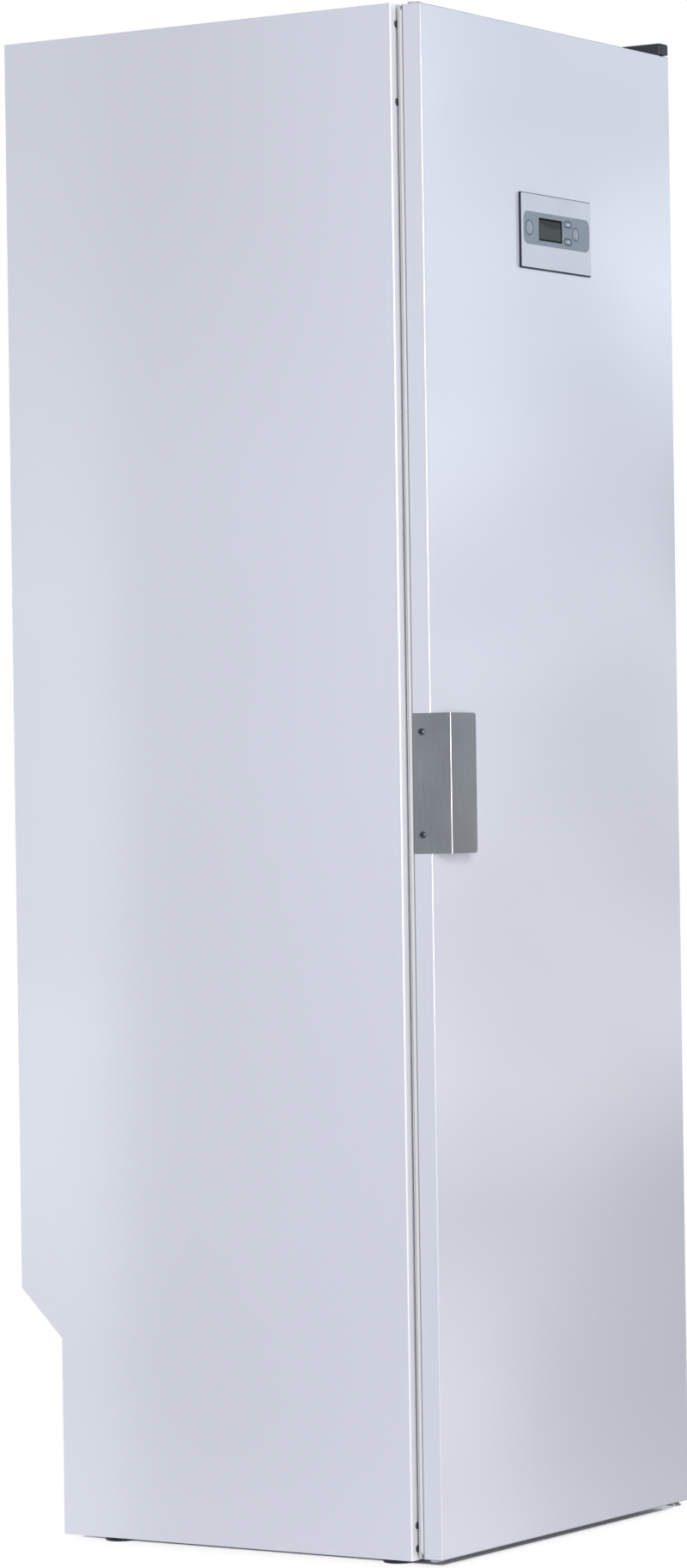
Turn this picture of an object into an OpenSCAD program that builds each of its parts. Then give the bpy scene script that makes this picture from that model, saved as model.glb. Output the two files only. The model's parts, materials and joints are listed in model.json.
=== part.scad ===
// Vented drying cabinet: a tall sheet metal cabinet with one full height door.
// A fan and heater sit above the drying space. Two of its three hanging racks fold up.
// Millimetres, +Z up. The door faces -Y and its hinges are at +X.

/* [Cabinet] */
// Width of the cabinet and of its door
cab_w = 595; // [560:1:660]
// Height of the sheet metal body, without the feet
cab_h = 1835; // [1780:1:1960]
// Depth of the body behind its front flange
cab_d = 565; // [540:1:620]
// Thickness of the painted steel sheet
sheet = 1; // [0.8:0.1:1.4]
// Outside radius of the bends in the sheet
bend_r = 2; // [1.6:0.1:3]
// Width of the flange at each side of the front opening
flange_w = 34; // [34:1:42]
// Width of the flange at the back of a side panel
rear_flange = 14; // [10:1:20]
// Height of the sill under the front opening
sill_h = 40; // [36:1:60]
// Height of the machine space above the drying space
machine_h = 235; // [220:1:270]
// Depth of the notch for pipes at the lower back
notch_d = 60; // [40:1:70]
// Height of the upright part of that notch
notch_h = 240; // [180:1:300]
// Distance from the floor to the body with the feet screwed in
floor_gap = 10; // [8:1:16]

/* [Door] */
// Gap between the cabinet's flange and the door's inner pan
door_gap = 10; // [8:0.5:14]
// Thickness of the inner pan's edge
lip_t = 6; // [4:0.5:8]
// Depth of the door's outer skin
skin_d = 26; // [24:0.5:32]
// Distance from the top of the door to the top of the cabinet
door_top_gap = 3; // [2:0.5:5]
// Distance from the bottom of the cabinet to the bottom of the door
door_bottom_gap = 3; // [2:0.5:5]
// Distance from the inner pan's edge to the skin's edge at top and bottom
lip_inset = 4; // [2:0.5:6]
// Distance from the gasket to the side of the door
gasket_inset = 18; // [17:0.5:19]
// Width of the magnetic gasket
gasket_w = 14; // [10:0.5:14]
// Distance from the gasket's base strip to the side of the door
gasket_base_inset = 3.5; // [3:0.5:8]
// Distance from the hinge axis to the side of the door
hinge_inset = 12; // [11:0.5:13]
// Distance from the hinge axis to the front of the door
hinge_depth = 16; // [12:0.5:18]
// Radius of the two hinge pins
pin_r = 4; // [3:0.25:4.5]
// Height of the black cover over the upper hinge
cover_h = 13; // [11:0.5:18]
// Width of that cover
cover_w = 22; // [21:0.5:26]
// Length of that cover behind the front flange
cover_l = 95; // [85:1:120]

/* [Handle] */
// Height of the handle
handle_h = 165; // [140:1:200]
// Height of the handle's lower end above the floor
handle_z = 843; // [700:1:1000]
// Width of the part in front of the door
handle_w = 54; // [40:1:70]
// Distance from the front of the door to the front of the handle
handle_reach = 29; // [22:1:40]
// Depth of the part that lies on the side of the door
handle_grip = 24; // [18:1:24]
// Thickness of the stainless plate
handle_t = 2; // [1.5:0.1:3]
// Distance between the two handle screws
handle_pitch = 121; // [100:1:130]

/* [Control panel] */
// Width of the control plate
plate_w = 168; // [160:1:190]
// Height of the control plate
plate_h = 92; // [84:1:110]
// Thickness of the control plate
plate_t = 3.7; // [3.4:0.1:5]
// Distance from the left side of the door to the plate
plate_x = 218; // [190:1:230]
// Height of the plate's lower edge above the floor
plate_z = 1547; // [1400:1:1600]
// Travel of a control button
button_travel = 0.5; // [0.3:0.1:0.8]

/* [Racks] */
// Diameter of the round steel of a rack's frame
frame_rod = 8; // [6:0.5:9]
// Diameter of a hanging rod
hang_rod = 5; // [4:0.5:6]
// Number of hanging rods on a rack
hang_count = 10; // [6:1:12]
// Depth of a hanging rack from its pivot to its front bar
rack_d = 385; // [340:1:392]
// Height between one hanging rack and the next
rack_pitch = 440; // [430:1:460]
// Distance from the ceiling of the drying space to the top rack
rack_drop = 60; // [50:1:80]

/* [Fan and ducts] */
// Radius of the blower wheel
wheel_r = 75; // [60:1:80]
// Height of the blower wheel
wheel_h = 50; // [40:1:56]
// Number of blades on the wheel
blade_count = 28; // [20:1:36]
// Outside radius of the exhaust spigot
duct_r = 50; // [45:0.5:52]
// Height of the exhaust spigot above the roof
spigot_h = 40; // [30:1:42]

/* [Feet] */
// Radius of a levelling foot
foot_r = 19; // [15:0.5:20]
// Radius of a foot's threaded stud
stud_r = 5; // [4:0.5:6]
// Length that a foot can be screwed out
foot_travel = 15; // [8:1:18]

/* [Hidden] */
$fn = 64;

// Clearances
fit = 0.05;          // running fit of a pin or shaft in its bore, on the radius
slip = 0.2;          // loose fit of a piece in its hole or pocket
seat_gap = 0.3;      // space between pieces that move and the stops they rest on
eps = 1;             // how far a cutter passes the face that it cuts

// Levels
z_bot = floor_gap;
z_top = z_bot + cab_h;
ceil_z = z_top - machine_h;
floor_z = z_bot + sill_h;
door_z0 = z_bot + door_bottom_gap;
door_z1 = z_top - door_top_gap;

// Depths, measured from the front of the cabinet's flange
lip_y = -door_gap;
seam_y = lip_y - lip_t;
front_y = seam_y - skin_d;
handle_y = front_y - handle_reach;
liner_gap = 4;
liner_y = cab_d - notch_d - 2 * sheet - liner_gap;
rear_y = cab_d - 2 * sheet;
bead_r = 4.5;                         // stiffening beads pressed into the rear panel
lip_side = 1.5;

// Fasteners
screw_r = 2;
head_r = 4;
head_h = 1.8;

// The row's origin: middle of the outline's box, on the floor
mid_x = (cab_w - handle_t - head_h) / 2;
mid_y = (cab_d + head_h + handle_y) / 2;

// Hinge line
hinge_x = cab_w - hinge_inset;
hinge_y = front_y + hinge_depth;
bush_r = pin_r + 2;
bush_flange_r = pin_r + 3.5;
bush_l = 22;
hinge_plate = 3;
pin_engage = 16;

// Hanging racks
rack_side = 12;                       // from the liner to the side of a rack
bracket_t = 9;
bracket_back = 34;
pivot_y = liner_y - bracket_back;
rack_x0 = flange_w + rack_side;
rack_x1 = cab_w - flange_w - rack_side;
top_rack_z = ceil_z - rack_drop;
middle_rack_z = top_rack_z - rack_pitch;
lower_rack_z = middle_rack_z - rack_pitch;

// Fan and ducts
fan_x = cab_w / 2 + 44;
fan_y = 185;
scroll_wall = 1.5;
scroll_gap = 8;
scroll_growth = 40;
scroll_h = wheel_h + 16;
shaft_r = 4;
motor_r = 44;
motor_h = 78;
duct_x = cab_w / 2;
duct_y = liner_y - duct_r - 12;
duct_wall = 1;
scroll_r = wheel_r + scroll_gap + scroll_growth;
outlet_x0 = fan_x + wheel_r / 2;
outlet_x1 = fan_x + scroll_r;
heater_y0 = fan_y + scroll_r + 4;
heater_y1 = rear_y - bead_r - 2;

// Feet
foot_in = 50;
foot_back = 50;
foot_h = floor_gap - 3;
nut_h = 8;
nut_r = stud_r * 1.9;
stud_l = foot_travel + nut_h + sheet + 6;
feet = [[foot_in, foot_back], [cab_w - foot_in, foot_back],
        [foot_in, cab_d - notch_d - foot_back], [cab_w - foot_in, cab_d - notch_d - foot_back]];

// Control panel
band_margin = 4.8;
band_h = 40;
band_r = 10;
band_t = 0.6;
keys_z = plate_z + plate_h * 0.54;
display_x = plate_x + 41.4;
display_w = 55.4;
display_h = 27.7;
button_t = 1.8;
button_proud = 0.4;
round_key_r = 8;
power_x = plate_x + 18.6;
arrow_x = plate_x + 111;
ok_x = plate_x + 129.5;
ok_r = 7;
arrow_w = 15.6;
arrow_h = 5.4;
arrow_rise = 10.7;
plate_y = front_y - plate_t;

// Colours
paint = [0.86, 0.87, 0.90];
liner_paint = [0.90, 0.90, 0.91];
stainless = [0.60, 0.62, 0.65];
zinc = [0.70, 0.71, 0.73];
black = [0.12, 0.12, 0.13];
grey = [0.62, 0.65, 0.69];

// Shapes

// Moves a piece from the cabinet's corner to the row's origin
module placed() {
    translate([-mid_x, -mid_y, 0]) children();
}

// A shape drawn over depth and height, carried across a width
module across(x, w) {
    translate([x, 0, 0]) rotate([90, 0, 90]) linear_extrude(w) children();
}

// A shape drawn over width and height, carried back from y
module backward(y, d) {
    translate([0, y + d, 0]) rotate([90, 0, 0]) linear_extrude(d) children();
}

// A shape drawn in plan, raised from z
module raised(z, h) {
    translate([0, 0, z]) linear_extrude(h) children();
}

// A box between two corners
module box(a, b) {
    translate(a) cube(b - a);
}

// A rectangle between two corners, with rounded corners
module soft_rect(a, b, r) {
    translate([a.x + r, a.y]) square([b.x - a.x - 2 * r, b.y - a.y]);
    translate([a.x, a.y + r]) square([b.x - a.x, b.y - a.y - 2 * r]);
    for (x = [a.x + r, b.x - r], y = [a.y + r, b.y - r])
        translate([x, y]) circle(r);
}

// A block whose front edges are bent round, square at the back
module bent_block(a, b, r) {
    intersection() {
        raised(a.z, b.z - a.z) soft_rect([a.x, a.y], [b.x, b.y + 2 * r], r);
        across(a.x, b.x - a.x) soft_rect([a.y, a.z], [b.y + 2 * r, b.z], r);
        box(a, b);
    }
}

// A round bar along X, Y or Z from a point
module bar_x(p, l, r) {
    translate(p) rotate([0, 90, 0]) cylinder(h = l, r = r);
}
module bar_y(p, l, r) {
    translate(p) rotate([-90, 0, 0]) cylinder(h = l, r = r);
}
module bar_z(p, l, r) {
    translate(p) cylinder(h = l, r = r);
}

// A slot with round ends, lying along X, cut through a sheet that faces Y
module slot_y(x, y, z, w, h, d) {
    backward(y, d) translate([x, z]) {
        square([w - h, h], center = true);
        for (s = [-1, 1])
            translate([s * (w - h) / 2, 0]) circle(h / 2);
    }
}

// A pan head screw that points along +Z, its head below z = 0
module screw(l) {
    cylinder(h = l, r = screw_r);
    translate([0, 0, -head_h]) cylinder(h = head_h, r1 = head_r * 0.62, r2 = head_r);
}

// Points of the back of the cabinet, inset by a distance, from the bottom to a height
function back_line(inset, top) = [
    [cab_d - notch_d - inset, z_bot],
    [cab_d - notch_d - inset, z_bot + notch_h],
    [cab_d - inset, z_bot + notch_h + notch_d],
    [cab_d - inset, top]
];
function backwards(list) = [for (i = [len(list) - 1:-1:0]) list[i]];

// Cabinet

// Side panel with its front and rear flanges, on the left side
module side_panel() {
    difference() {
        raised(z_bot, cab_h) difference() {
            soft_rect([0, 0], [3 * flange_w, cab_d], bend_r);
            soft_rect([sheet, sheet], [3 * flange_w, cab_d - sheet], bend_r - sheet / 2);
            translate([flange_w, -eps]) square([3 * flange_w, cab_d / 2]);
            translate([rear_flange, cab_d / 2 - 2 * eps]) square([3 * flange_w, cab_d]);
        }
        across(-eps, 3 * flange_w) polygon([
            [cab_d - notch_d, z_bot - eps],
            [cab_d - notch_d, z_bot + notch_h],
            [cab_d + eps, z_bot + notch_h + notch_d + eps],
            [cab_d + eps, z_bot - eps]
        ]);
        for (z = plug_levels())
            bar_y([plug_x, -eps, z], sheet + 2 * eps, plug_r);
        for (z = rear_screw_levels())
            bar_y([rear_flange / 2, cab_d - sheet - eps, z], sheet + 2 * eps, screw_r + slip);
    }
    across(0, rear_flange) polygon([
        [cab_d - notch_d - sheet, z_bot],
        [cab_d - notch_d, z_bot],
        [cab_d - notch_d, z_bot + notch_h],
        [cab_d, z_bot + notch_h + notch_d],
        [cab_d - sheet, z_bot + notch_h + notch_d],
        [cab_d - notch_d - sheet, z_bot + notch_h]
    ]);
}

// Holes for a hinge on the other side, shut with plugs
plug_x = 12.3;
plug_r = 3.2;
plug_head_r = 4.5;
function plug_levels() = [z_bot + 13.4, z_bot + 40.8, z_top - 115.8, z_top - 23.8];

module side_panel_left() {
    placed() color(paint) side_panel();
}

module side_panel_right() {
    placed() color(paint) translate([cab_w, 0, 0]) mirror([1, 0, 0]) side_panel();
}

// Back of the cabinet, stepped in at the notch, with stiffening beads and the air inlet
inlet_w = 220;
inlet_h = 90;
inlet_z = z_bot + notch_h / 2;
inlet_rim = 12;
gland_x = 90;
gland_r = 8;
bead_side = 80;
bead_end = 160;
bead_pitch = 170;
module rear_panel() {
    top = z_top - sheet;
    line_out = back_line(sheet, top);
    line_in = backwards(back_line(2 * sheet, top));
    notch_y = cab_d - notch_d;
    beads = [z_bot + notch_h + notch_d + bead_end:bead_pitch:z_top - bead_end];
    placed() color(paint) difference() {
        union() {
            across(sheet + bend_r, cab_w - 2 * (sheet + bend_r)) polygon(concat(line_out, line_in));
            for (z = beads)
                bar_x([bead_side, rear_y, z], cab_w - 2 * bead_side, bead_r);
        }
        box([0, cab_d - sheet, z_bot + notch_h + notch_d], [cab_w, cab_d + bead_r, z_top]);
        for (z = beads)
            bar_x([bead_side + sheet, rear_y + sheet / 2, z], cab_w - 2 * (bead_side + sheet), bead_r - sheet);
        box([cab_w / 2 - inlet_w / 2 + inlet_rim, notch_y - 5, inlet_z - inlet_h / 2 + inlet_rim],
            [cab_w / 2 + inlet_w / 2 - inlet_rim, notch_y + 5, inlet_z + inlet_h / 2 - inlet_rim]);
        bar_y([gland_x, notch_y - 5, inlet_z], 10, gland_r + slip);
        for (p = rear_screw_places())
            bar_y([p.x, notch_y - 5, p[1]], notch_d + 10, screw_r + slip);
    }
}

rear_screw_gap = 40;
function rear_screw_levels() = [
    for (i = [0:4]) z_bot + notch_h + notch_d + rear_screw_gap
        + i * (cab_h - notch_h - notch_d - 2 * rear_screw_gap) / 4
];
function rear_screw_places() = [
    for (x = [rear_flange / 2, cab_w - rear_flange / 2], z = rear_screw_levels()) [x, z]
];

// Screws that hold the rear panel to the side panels' flanges
module rear_screws() {
    placed() color(zinc)
        for (p = rear_screw_places())
            translate([p.x, cab_d, p[1]]) rotate([90, 0, 0]) screw(10);
}

// Roof with its turned down sides and the opening for the exhaust
roof_turn = 22;
module roof_panel() {
    placed() color(paint) difference() {
        raised(z_top - roof_turn, roof_turn)
            soft_rect([sheet, sheet], [cab_w - sheet, cab_d - sheet], bend_r);
        box([2 * sheet, -eps, z_top - roof_turn - eps], [cab_w - 2 * sheet, cab_d + eps, z_top - sheet]);
        box([-eps, cab_d - 2 * sheet, z_top - roof_turn - eps], [cab_w + eps, cab_d + eps, z_top - sheet]);
        bar_z([duct_x, duct_y, z_top - roof_turn], 2 * roof_turn, duct_r + slip);
        for (p = arm_screw_places())
            bar_z([p.x, p.y, z_top - roof_turn], 2 * roof_turn, screw_r + slip);
    }
}

// Bottom of the cabinet, with holes for the feet
base_turn = 24;
base_notch_y = 10;
module base_pan() {
    back = cab_d - notch_d - 2 * sheet;
    placed() color(paint) difference() {
        box([sheet, sheet, z_bot], [cab_w - sheet, back, z_bot + base_turn]);
        box([2 * sheet, 2 * sheet, z_bot + sheet], [cab_w - 2 * sheet, back - sheet, z_bot + base_turn + eps]);
        for (x = [-eps, cab_w - flange_w])
            box([x, 0, z_bot + sheet], [x + flange_w + eps, base_notch_y, z_bot + base_turn + eps]);
        for (p = feet)
            bar_z([p.x, p.y, z_bot - eps], sheet + 2 * eps, stud_r + 2 * slip);
        for (p = bracket_screw_places())
            bar_z([p.x, p.y, z_bot - eps], sheet + 2 * eps, screw_r + slip);
    }
}

// Front of the machine space, behind the top of the door, with air slots
fascia_ledge = 24;
fascia_slots = 5;
fascia_slot_w = 26;
fascia_slot_pitch = 36;
fascia_slot_z = 60;
module fascia_panel() {
    placed() color(paint) difference() {
        union() {
            box([flange_w, 0, ceil_z], [cab_w - flange_w, sheet, z_top]);
            box([flange_w, 0, ceil_z], [cab_w - flange_w, fascia_ledge, ceil_z + sheet]);
            box([flange_w, sheet, z_top - 2 * sheet], [cab_w - flange_w, fascia_ledge - 6, z_top - sheet]);
        }
        for (i = [-fascia_slots:fascia_slots], row = [0, 1])
            slot_y(cab_w / 2 + i * fascia_slot_pitch, -eps, ceil_z + fascia_slot_z * (1 + row / 4),
                fascia_slot_w, slot_h, sheet + 2 * eps);
    }
}

// Sill under the front opening
sill_ledge = 26;
module sill_rail() {
    placed() color(paint) {
        box([flange_w, 0, z_bot], [cab_w - flange_w, sheet, floor_z]);
        box([flange_w, 0, floor_z - sheet], [cab_w - flange_w, sill_ledge, floor_z]);
    }
}

// Walls of the drying space, with rounded rear corners and rows of air slots
liner_r = 20;
liner_front = -60;
slot_h = 5;
air_rows = 9;
air_slot_w = 90;
air_slot_pitch = 140;
air_low = 360;
air_high = 100;
module inner_liner() {
    x0 = flange_w - sheet;
    x1 = cab_w - flange_w + sheet;
    step = (ceil_z - floor_z - air_low - air_high) / (air_rows - 1);
    placed() color(liner_paint) difference() {
        raised(floor_z, ceil_z - floor_z) difference() {
            soft_rect([x0, liner_front], [x1, liner_y], liner_r);
            soft_rect([x0 + sheet, liner_front], [x1 - sheet, liner_y - sheet], liner_r - sheet);
            translate([x0 - eps, liner_front - eps]) square([x1 - x0 + 2 * eps, sheet - liner_front + eps]);
        }
        for (row = [0:air_rows - 1], x = [-1:1])
            slot_y(cab_w / 2 + x * air_slot_pitch, liner_y - sheet - eps, floor_z + air_low + row * step,
                air_slot_w, slot_h + 2, sheet + 2 * eps);
    }
}

// Floor of the drying space: a shallow well with a rim that lies under the liner
tray_t = 2;
tray_depth = 8;
tray_rim = 20;
module tray_plan(inset) {
    intersection() {
        soft_rect([flange_w + slip + inset, liner_front],
            [cab_w - flange_w - slip - inset, liner_y - sheet - slip - inset], liner_r - sheet);
        translate([0, sill_ledge + slip + inset]) square([cab_w, cab_d]);
    }
}
module floor_tray() {
    placed() color(liner_paint) difference() {
        union() {
            raised(floor_z, tray_t) tray_plan(0);
            raised(floor_z - tray_depth, tray_depth + tray_t) tray_plan(tray_rim);
        }
        raised(floor_z - tray_depth + tray_t, tray_depth + eps) tray_plan(tray_rim + tray_t);
    }
}

// Ceiling of the drying space, which carries the fan, with the outlet's ring of holes
inlet_r = wheel_r - 18;
ceiling_turn = 16;
outlet_hole_r = 6;
outlet_ring = 17;
module ceiling_panel() {
    placed() color(liner_paint) difference() {
        union() {
            box([2 * sheet, fascia_ledge, ceil_z], [cab_w - 2 * sheet, liner_y, ceil_z + sheet]);
            for (x = [sheet, cab_w - 2 * sheet])
                box([x, fascia_ledge, ceil_z], [x + sheet, liner_y, ceil_z + ceiling_turn]);
        }
        bar_z([fan_x, fan_y, ceil_z - eps], sheet + 2 * eps, inlet_r);
        bar_z([duct_x, duct_y, ceil_z - eps], sheet + 2 * eps, outlet_hole_r);
        for (ring = [1:2], a = [0:60 / ring:359])
            bar_z([duct_x + ring * outlet_ring * cos(a), duct_y + ring * outlet_ring * sin(a), ceil_z - eps],
                sheet + 2 * eps, outlet_hole_r);
    }
}

// Lint filter under the fan's inlet: a frame with bars and a pull tab
filter_w = 230;
filter_d = 190;
filter_t = 12;
filter_rim = 9;
filter_bars = 12;
filter_tab_w = 60;
filter_tab_d = 14;
module lint_filter() {
    bar_t = 2;
    placed() color(grey) translate([fan_x, fan_y, ceil_z - filter_t]) {
        difference() {
            box([-filter_w / 2, -filter_d / 2, 0], [filter_w / 2, filter_d / 2, filter_t]);
            box([-filter_w / 2 + filter_rim, -filter_d / 2 + filter_rim, -eps],
                [filter_w / 2 - filter_rim, filter_d / 2 - filter_rim, filter_t + eps]);
        }
        for (i = [1:filter_bars])
            translate([-filter_w / 2 + i * filter_w / (filter_bars + 1) - bar_t / 2, eps - filter_d / 2, filter_t / 3])
                cube([bar_t, filter_d - 2 * eps, filter_t / 4]);
        box([-filter_tab_w / 2, -filter_d / 2 - filter_tab_d, 0], [filter_tab_w / 2, eps - filter_d / 2, filter_t / 4]);
    }
}

// Fan and heater

// Outline of the scroll: a spiral that widens at a steady rate from the tongue to the outlet
function tongue(grow) = acos((outlet_x0 - fan_x - grow) / (wheel_r + scroll_gap + grow));
function spiral_point(i, grow) =
    let (t = tongue(grow), a = t + (360 - t) * i / 30)
    (wheel_r + scroll_gap + grow + scroll_growth * i / 30) * [cos(a), sin(a)];
function scroll_shape(grow) = concat(
    [for (i = [0:30]) spiral_point(i, grow)],
    [[scroll_r + grow, heater_y0 - fan_y], [outlet_x0 - fan_x - grow, heater_y0 - fan_y]]
);

module fan_scroll() {
    placed() color(zinc) translate([fan_x, fan_y, ceil_z + sheet]) difference() {
        linear_extrude(scroll_h) polygon(scroll_shape(scroll_wall));
        translate([0, 0, scroll_wall]) linear_extrude(scroll_h - 2 * scroll_wall)
            polygon(scroll_shape(0));
        box([outlet_x0 - fan_x, heater_y0 - fan_y - 10, scroll_wall],
            [outlet_x1 - fan_x, heater_y0 - fan_y + eps, scroll_h - scroll_wall]);
        translate([0, 0, -eps]) cylinder(h = scroll_wall + 2 * eps, r = inlet_r);
        translate([0, 0, scroll_h - scroll_wall - eps]) cylinder(h = scroll_wall + 2 * eps, r = shaft_r + 8);
    }
}

// Wheel with forward curved blades between a back plate and a front ring
blade_in = wheel_r - 17;
blade_t = 1.2;
function blade_point(i, off) =
    let (f = i / 5, r = blade_in - 0.7 + (wheel_r - 0.5 - blade_in) * f, a = 16 * f * f)
    [r * cos(a) - off * sin(a), r * sin(a) + off * cos(a)];
module blower_wheel() {
    z0 = ceil_z + sheet + scroll_wall + 5;
    placed() color(zinc) translate([fan_x, fan_y, z0]) difference() {
        union() {
            translate([0, 0, wheel_h - 2]) cylinder(h = 2, r = wheel_r);
            difference() {
                cylinder(h = 3, r = wheel_r);
                translate([0, 0, -eps]) cylinder(h = 3 + 2 * eps, r = blade_in);
            }
            for (k = [0:blade_count - 1])
                rotate(k * 360 / blade_count) translate([0, 0, 1]) linear_extrude(wheel_h - 2)
                    polygon(concat(
                        [for (i = [0:5]) blade_point(i, 0)],
                        [for (i = [5:-1:0]) blade_point(i, blade_t)]
                    ));
            translate([0, 0, wheel_h - 24]) cylinder(h = 24, r1 = 12, r2 = 20);
        }
        translate([0, 0, wheel_h - 24 - eps]) cylinder(h = 24 + 2 * eps, r = shaft_r);
    }
}

// Shaft that turns with the wheel
module motor_shaft() {
    z0 = ceil_z + sheet + scroll_wall + 5 + wheel_h - 24;
    placed() color(zinc) bar_z([fan_x, fan_y, z0], 24 + 11 + motor_h - 20, shaft_r);
}

// Fan motor with end bells, cooling ribs and its mounting feet
module fan_motor() {
    z0 = ceil_z + sheet + scroll_h;
    placed() color(black) translate([fan_x, fan_y, z0]) difference() {
        union() {
            translate([0, 0, 3]) cylinder(h = motor_h - 3, r = motor_r - 6);
            translate([0, 0, 3]) cylinder(h = 10, r = motor_r);
            translate([0, 0, motor_h - 14]) cylinder(h = 10, r = motor_r);
            for (a = [0:20:359])
                rotate(a) box([motor_r - 8, -1.5, 5], [motor_r - 1, 1.5, motor_h - 6]);
            for (a = [45:90:359])
                rotate(a) box([motor_r - 10, -8, 0], [motor_r + 14, 8, 3]);
        }
        translate([0, 0, -eps]) cylinder(h = motor_h - 8, r = shaft_r + fit);
    }
}

// Heater duct that turns the air down into the space behind the liner
module heater_box() {
    x0 = outlet_x0 - scroll_wall;
    x1 = outlet_x1 + scroll_wall;
    z0 = ceil_z + sheet;
    placed() color(zinc) difference() {
        box([x0, heater_y0 + slip, z0], [x1, heater_y1, z0 + scroll_h]);
        box([x0 + sheet, heater_y0 - eps, z0 + sheet], [x1 - sheet, heater_y1 - sheet, z0 + scroll_h - sheet]);
        box([x0 + sheet, liner_y + 2, z0 - eps], [x1 - sheet, heater_y1 - sheet, z0 + 2 * sheet]);
        for (p = element_ends())
            bar_z([p.x, p.y, z0 + scroll_h - 2 * sheet], 4 * sheet, element_r + slip);
    }
}

// Tubular heating element: straight passes joined by half turns, standing in the duct
element_r = 3.2;
element_turn = 11;
element_passes = 6;
element_y = heater_y0 + 30;
function element_ends() = [
    [(outlet_x0 + outlet_x1) / 2, element_y],
    [(outlet_x0 + outlet_x1) / 2, element_y + (element_passes - 1) * 2 * element_turn]
];
module heater_element() {
    z0 = ceil_z + 3 * sheet + element_r + element_turn + 2;
    z1 = ceil_z + sheet + scroll_h - sheet - element_r - element_turn - 4;
    x = (outlet_x0 + outlet_x1) / 2;
    placed() color([0.25, 0.24, 0.24]) {
        for (i = [0:element_passes - 1])
            bar_z([x, element_y + i * 2 * element_turn, z0], z1 - z0, element_r);
        for (i = [0:element_passes - 2])
            translate([x, element_y + (i * 2 + 1) * element_turn, i % 2 == 0 ? z0 : z1])
                rotate([90, 0, 90]) rotate([0, 0, i % 2 == 0 ? 180 : 0]) rotate_extrude(angle = 180)
                    translate([element_turn, 0]) circle(element_r, $fn = 32);
        for (p = element_ends())
            bar_z([p.x, p.y, z1], ceil_z + sheet + scroll_h + 14 - z1, element_r);
    }
}

// Two disc thermostats on top of the heater duct
module limit_thermostats() {
    z = ceil_z + sheet + scroll_h;
    placed() color(black)
        for (i = [0:1])
            translate([outlet_x0 + 22 + i * 44, heater_y1 - 46, z]) {
                cylinder(h = 3, r = 12);
                cylinder(h = 11, r = 8.5);
                for (s = [-1, 1])
                    box([s * 5 - 0.5, -3, 10], [s * 5 + 0.5, 3, 19]);
            }
}

// Box for the mains terminals and relays, with its lid and cable entries
terminal_x = 60;
terminal_y = 90;
terminal_w = 120;
terminal_d = 170;
terminal_h = 62;
lid_h = 10;
lid_edge = 6;
entry_r = 5;
module terminal_box() {
    placed() color(grey) translate([terminal_x, terminal_y, ceil_z + sheet]) difference() {
        union() {
            cube([terminal_w, terminal_d, terminal_h]);
            translate([-lid_edge, -lid_edge, terminal_h - lid_h])
                cube([terminal_w + 2 * lid_edge, terminal_d + 2 * lid_edge, lid_h]);
        }
        for (i = [1:5])
            bar_x([-eps, i * terminal_d / 6, terminal_h / 3], 2 * entry_r, entry_r);
    }
}

// Duct from the ceiling to the roof
module exhaust_duct() {
    placed() color(zinc) translate([duct_x, duct_y, 0]) difference() {
        union() {
            bar_z([0, 0, ceil_z + sheet], machine_h - 2 * sheet, duct_r);
            bar_z([0, 0, ceil_z + sheet], 1.5, duct_r + 8);
        }
        bar_z([0, 0, ceil_z], machine_h, duct_r - duct_wall);
    }
}

// Spigot on the roof for the exhaust hose, with its fixing flange
module exhaust_spigot() {
    placed() color(zinc) translate([duct_x, duct_y, z_top - sheet]) difference() {
        union() {
            cylinder(h = spigot_h + sheet, r = duct_r);
            translate([0, 0, sheet]) cylinder(h = 1.5, r = duct_r + 12);
        }
        translate([0, 0, -eps]) cylinder(h = spigot_h + sheet + 2 * eps, r = duct_r - duct_wall);
    }
}

// Louvred air inlet in the notch at the lower back
module inlet_grille() {
    y = cab_d - notch_d;
    slats = 6;
    pitch = (inlet_h - 24) / slats;
    placed() color(black) translate([cab_w / 2, y, inlet_z]) {
        difference() {
            box([-inlet_w / 2, 0, -inlet_h / 2], [inlet_w / 2, 3, inlet_h / 2]);
            box([-inlet_w / 2 + 13, -eps, -inlet_h / 2 + 13], [inlet_w / 2 - 13, 3 + eps, inlet_h / 2 - 13]);
        }
        difference() {
            for (i = [0:slats - 1])
                translate([0, 1.5, -inlet_h / 2 + 12 + (i + 0.5) * pitch]) rotate([35, 0, 0])
                    cube([inlet_w - 25, 1.6, pitch * 0.9], center = true);
            box([-inlet_w, 3, -inlet_h], [inlet_w, 30, inlet_h]);
            box([-inlet_w, -30, -inlet_h], [inlet_w, -4, inlet_h]);
        }
        for (x = [-55, 0, 55])
            box([x - 1, 0, -inlet_h / 2 + 12], [x + 1, 3, inlet_h / 2 - 12]);
    }
}

// Gland where the mains lead enters
gland_back = 2 * sheet + liner_gap - 0.5;
lead_r = 4.5;
module cable_gland() {
    placed() color(black) translate([gland_x, cab_d - notch_d, inlet_z]) difference() {
        union() {
            bar_y([0, -gland_back, 0], gland_back, gland_r);
            bar_y([0, 0, 0], 5, gland_r + 4, $fn = 6);
            translate([0, 5, 0]) rotate([-90, 0, 0]) cylinder(h = 9, r1 = gland_r + 2, r2 = gland_r - 1);
            bar_y([0, -gland_back, 0], gland_back - 2 * sheet, gland_r + 4, $fn = 6);
        }
        bar_y([0, -2 * gland_back, 0], 8 * gland_back, lead_r);
    }
}

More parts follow.
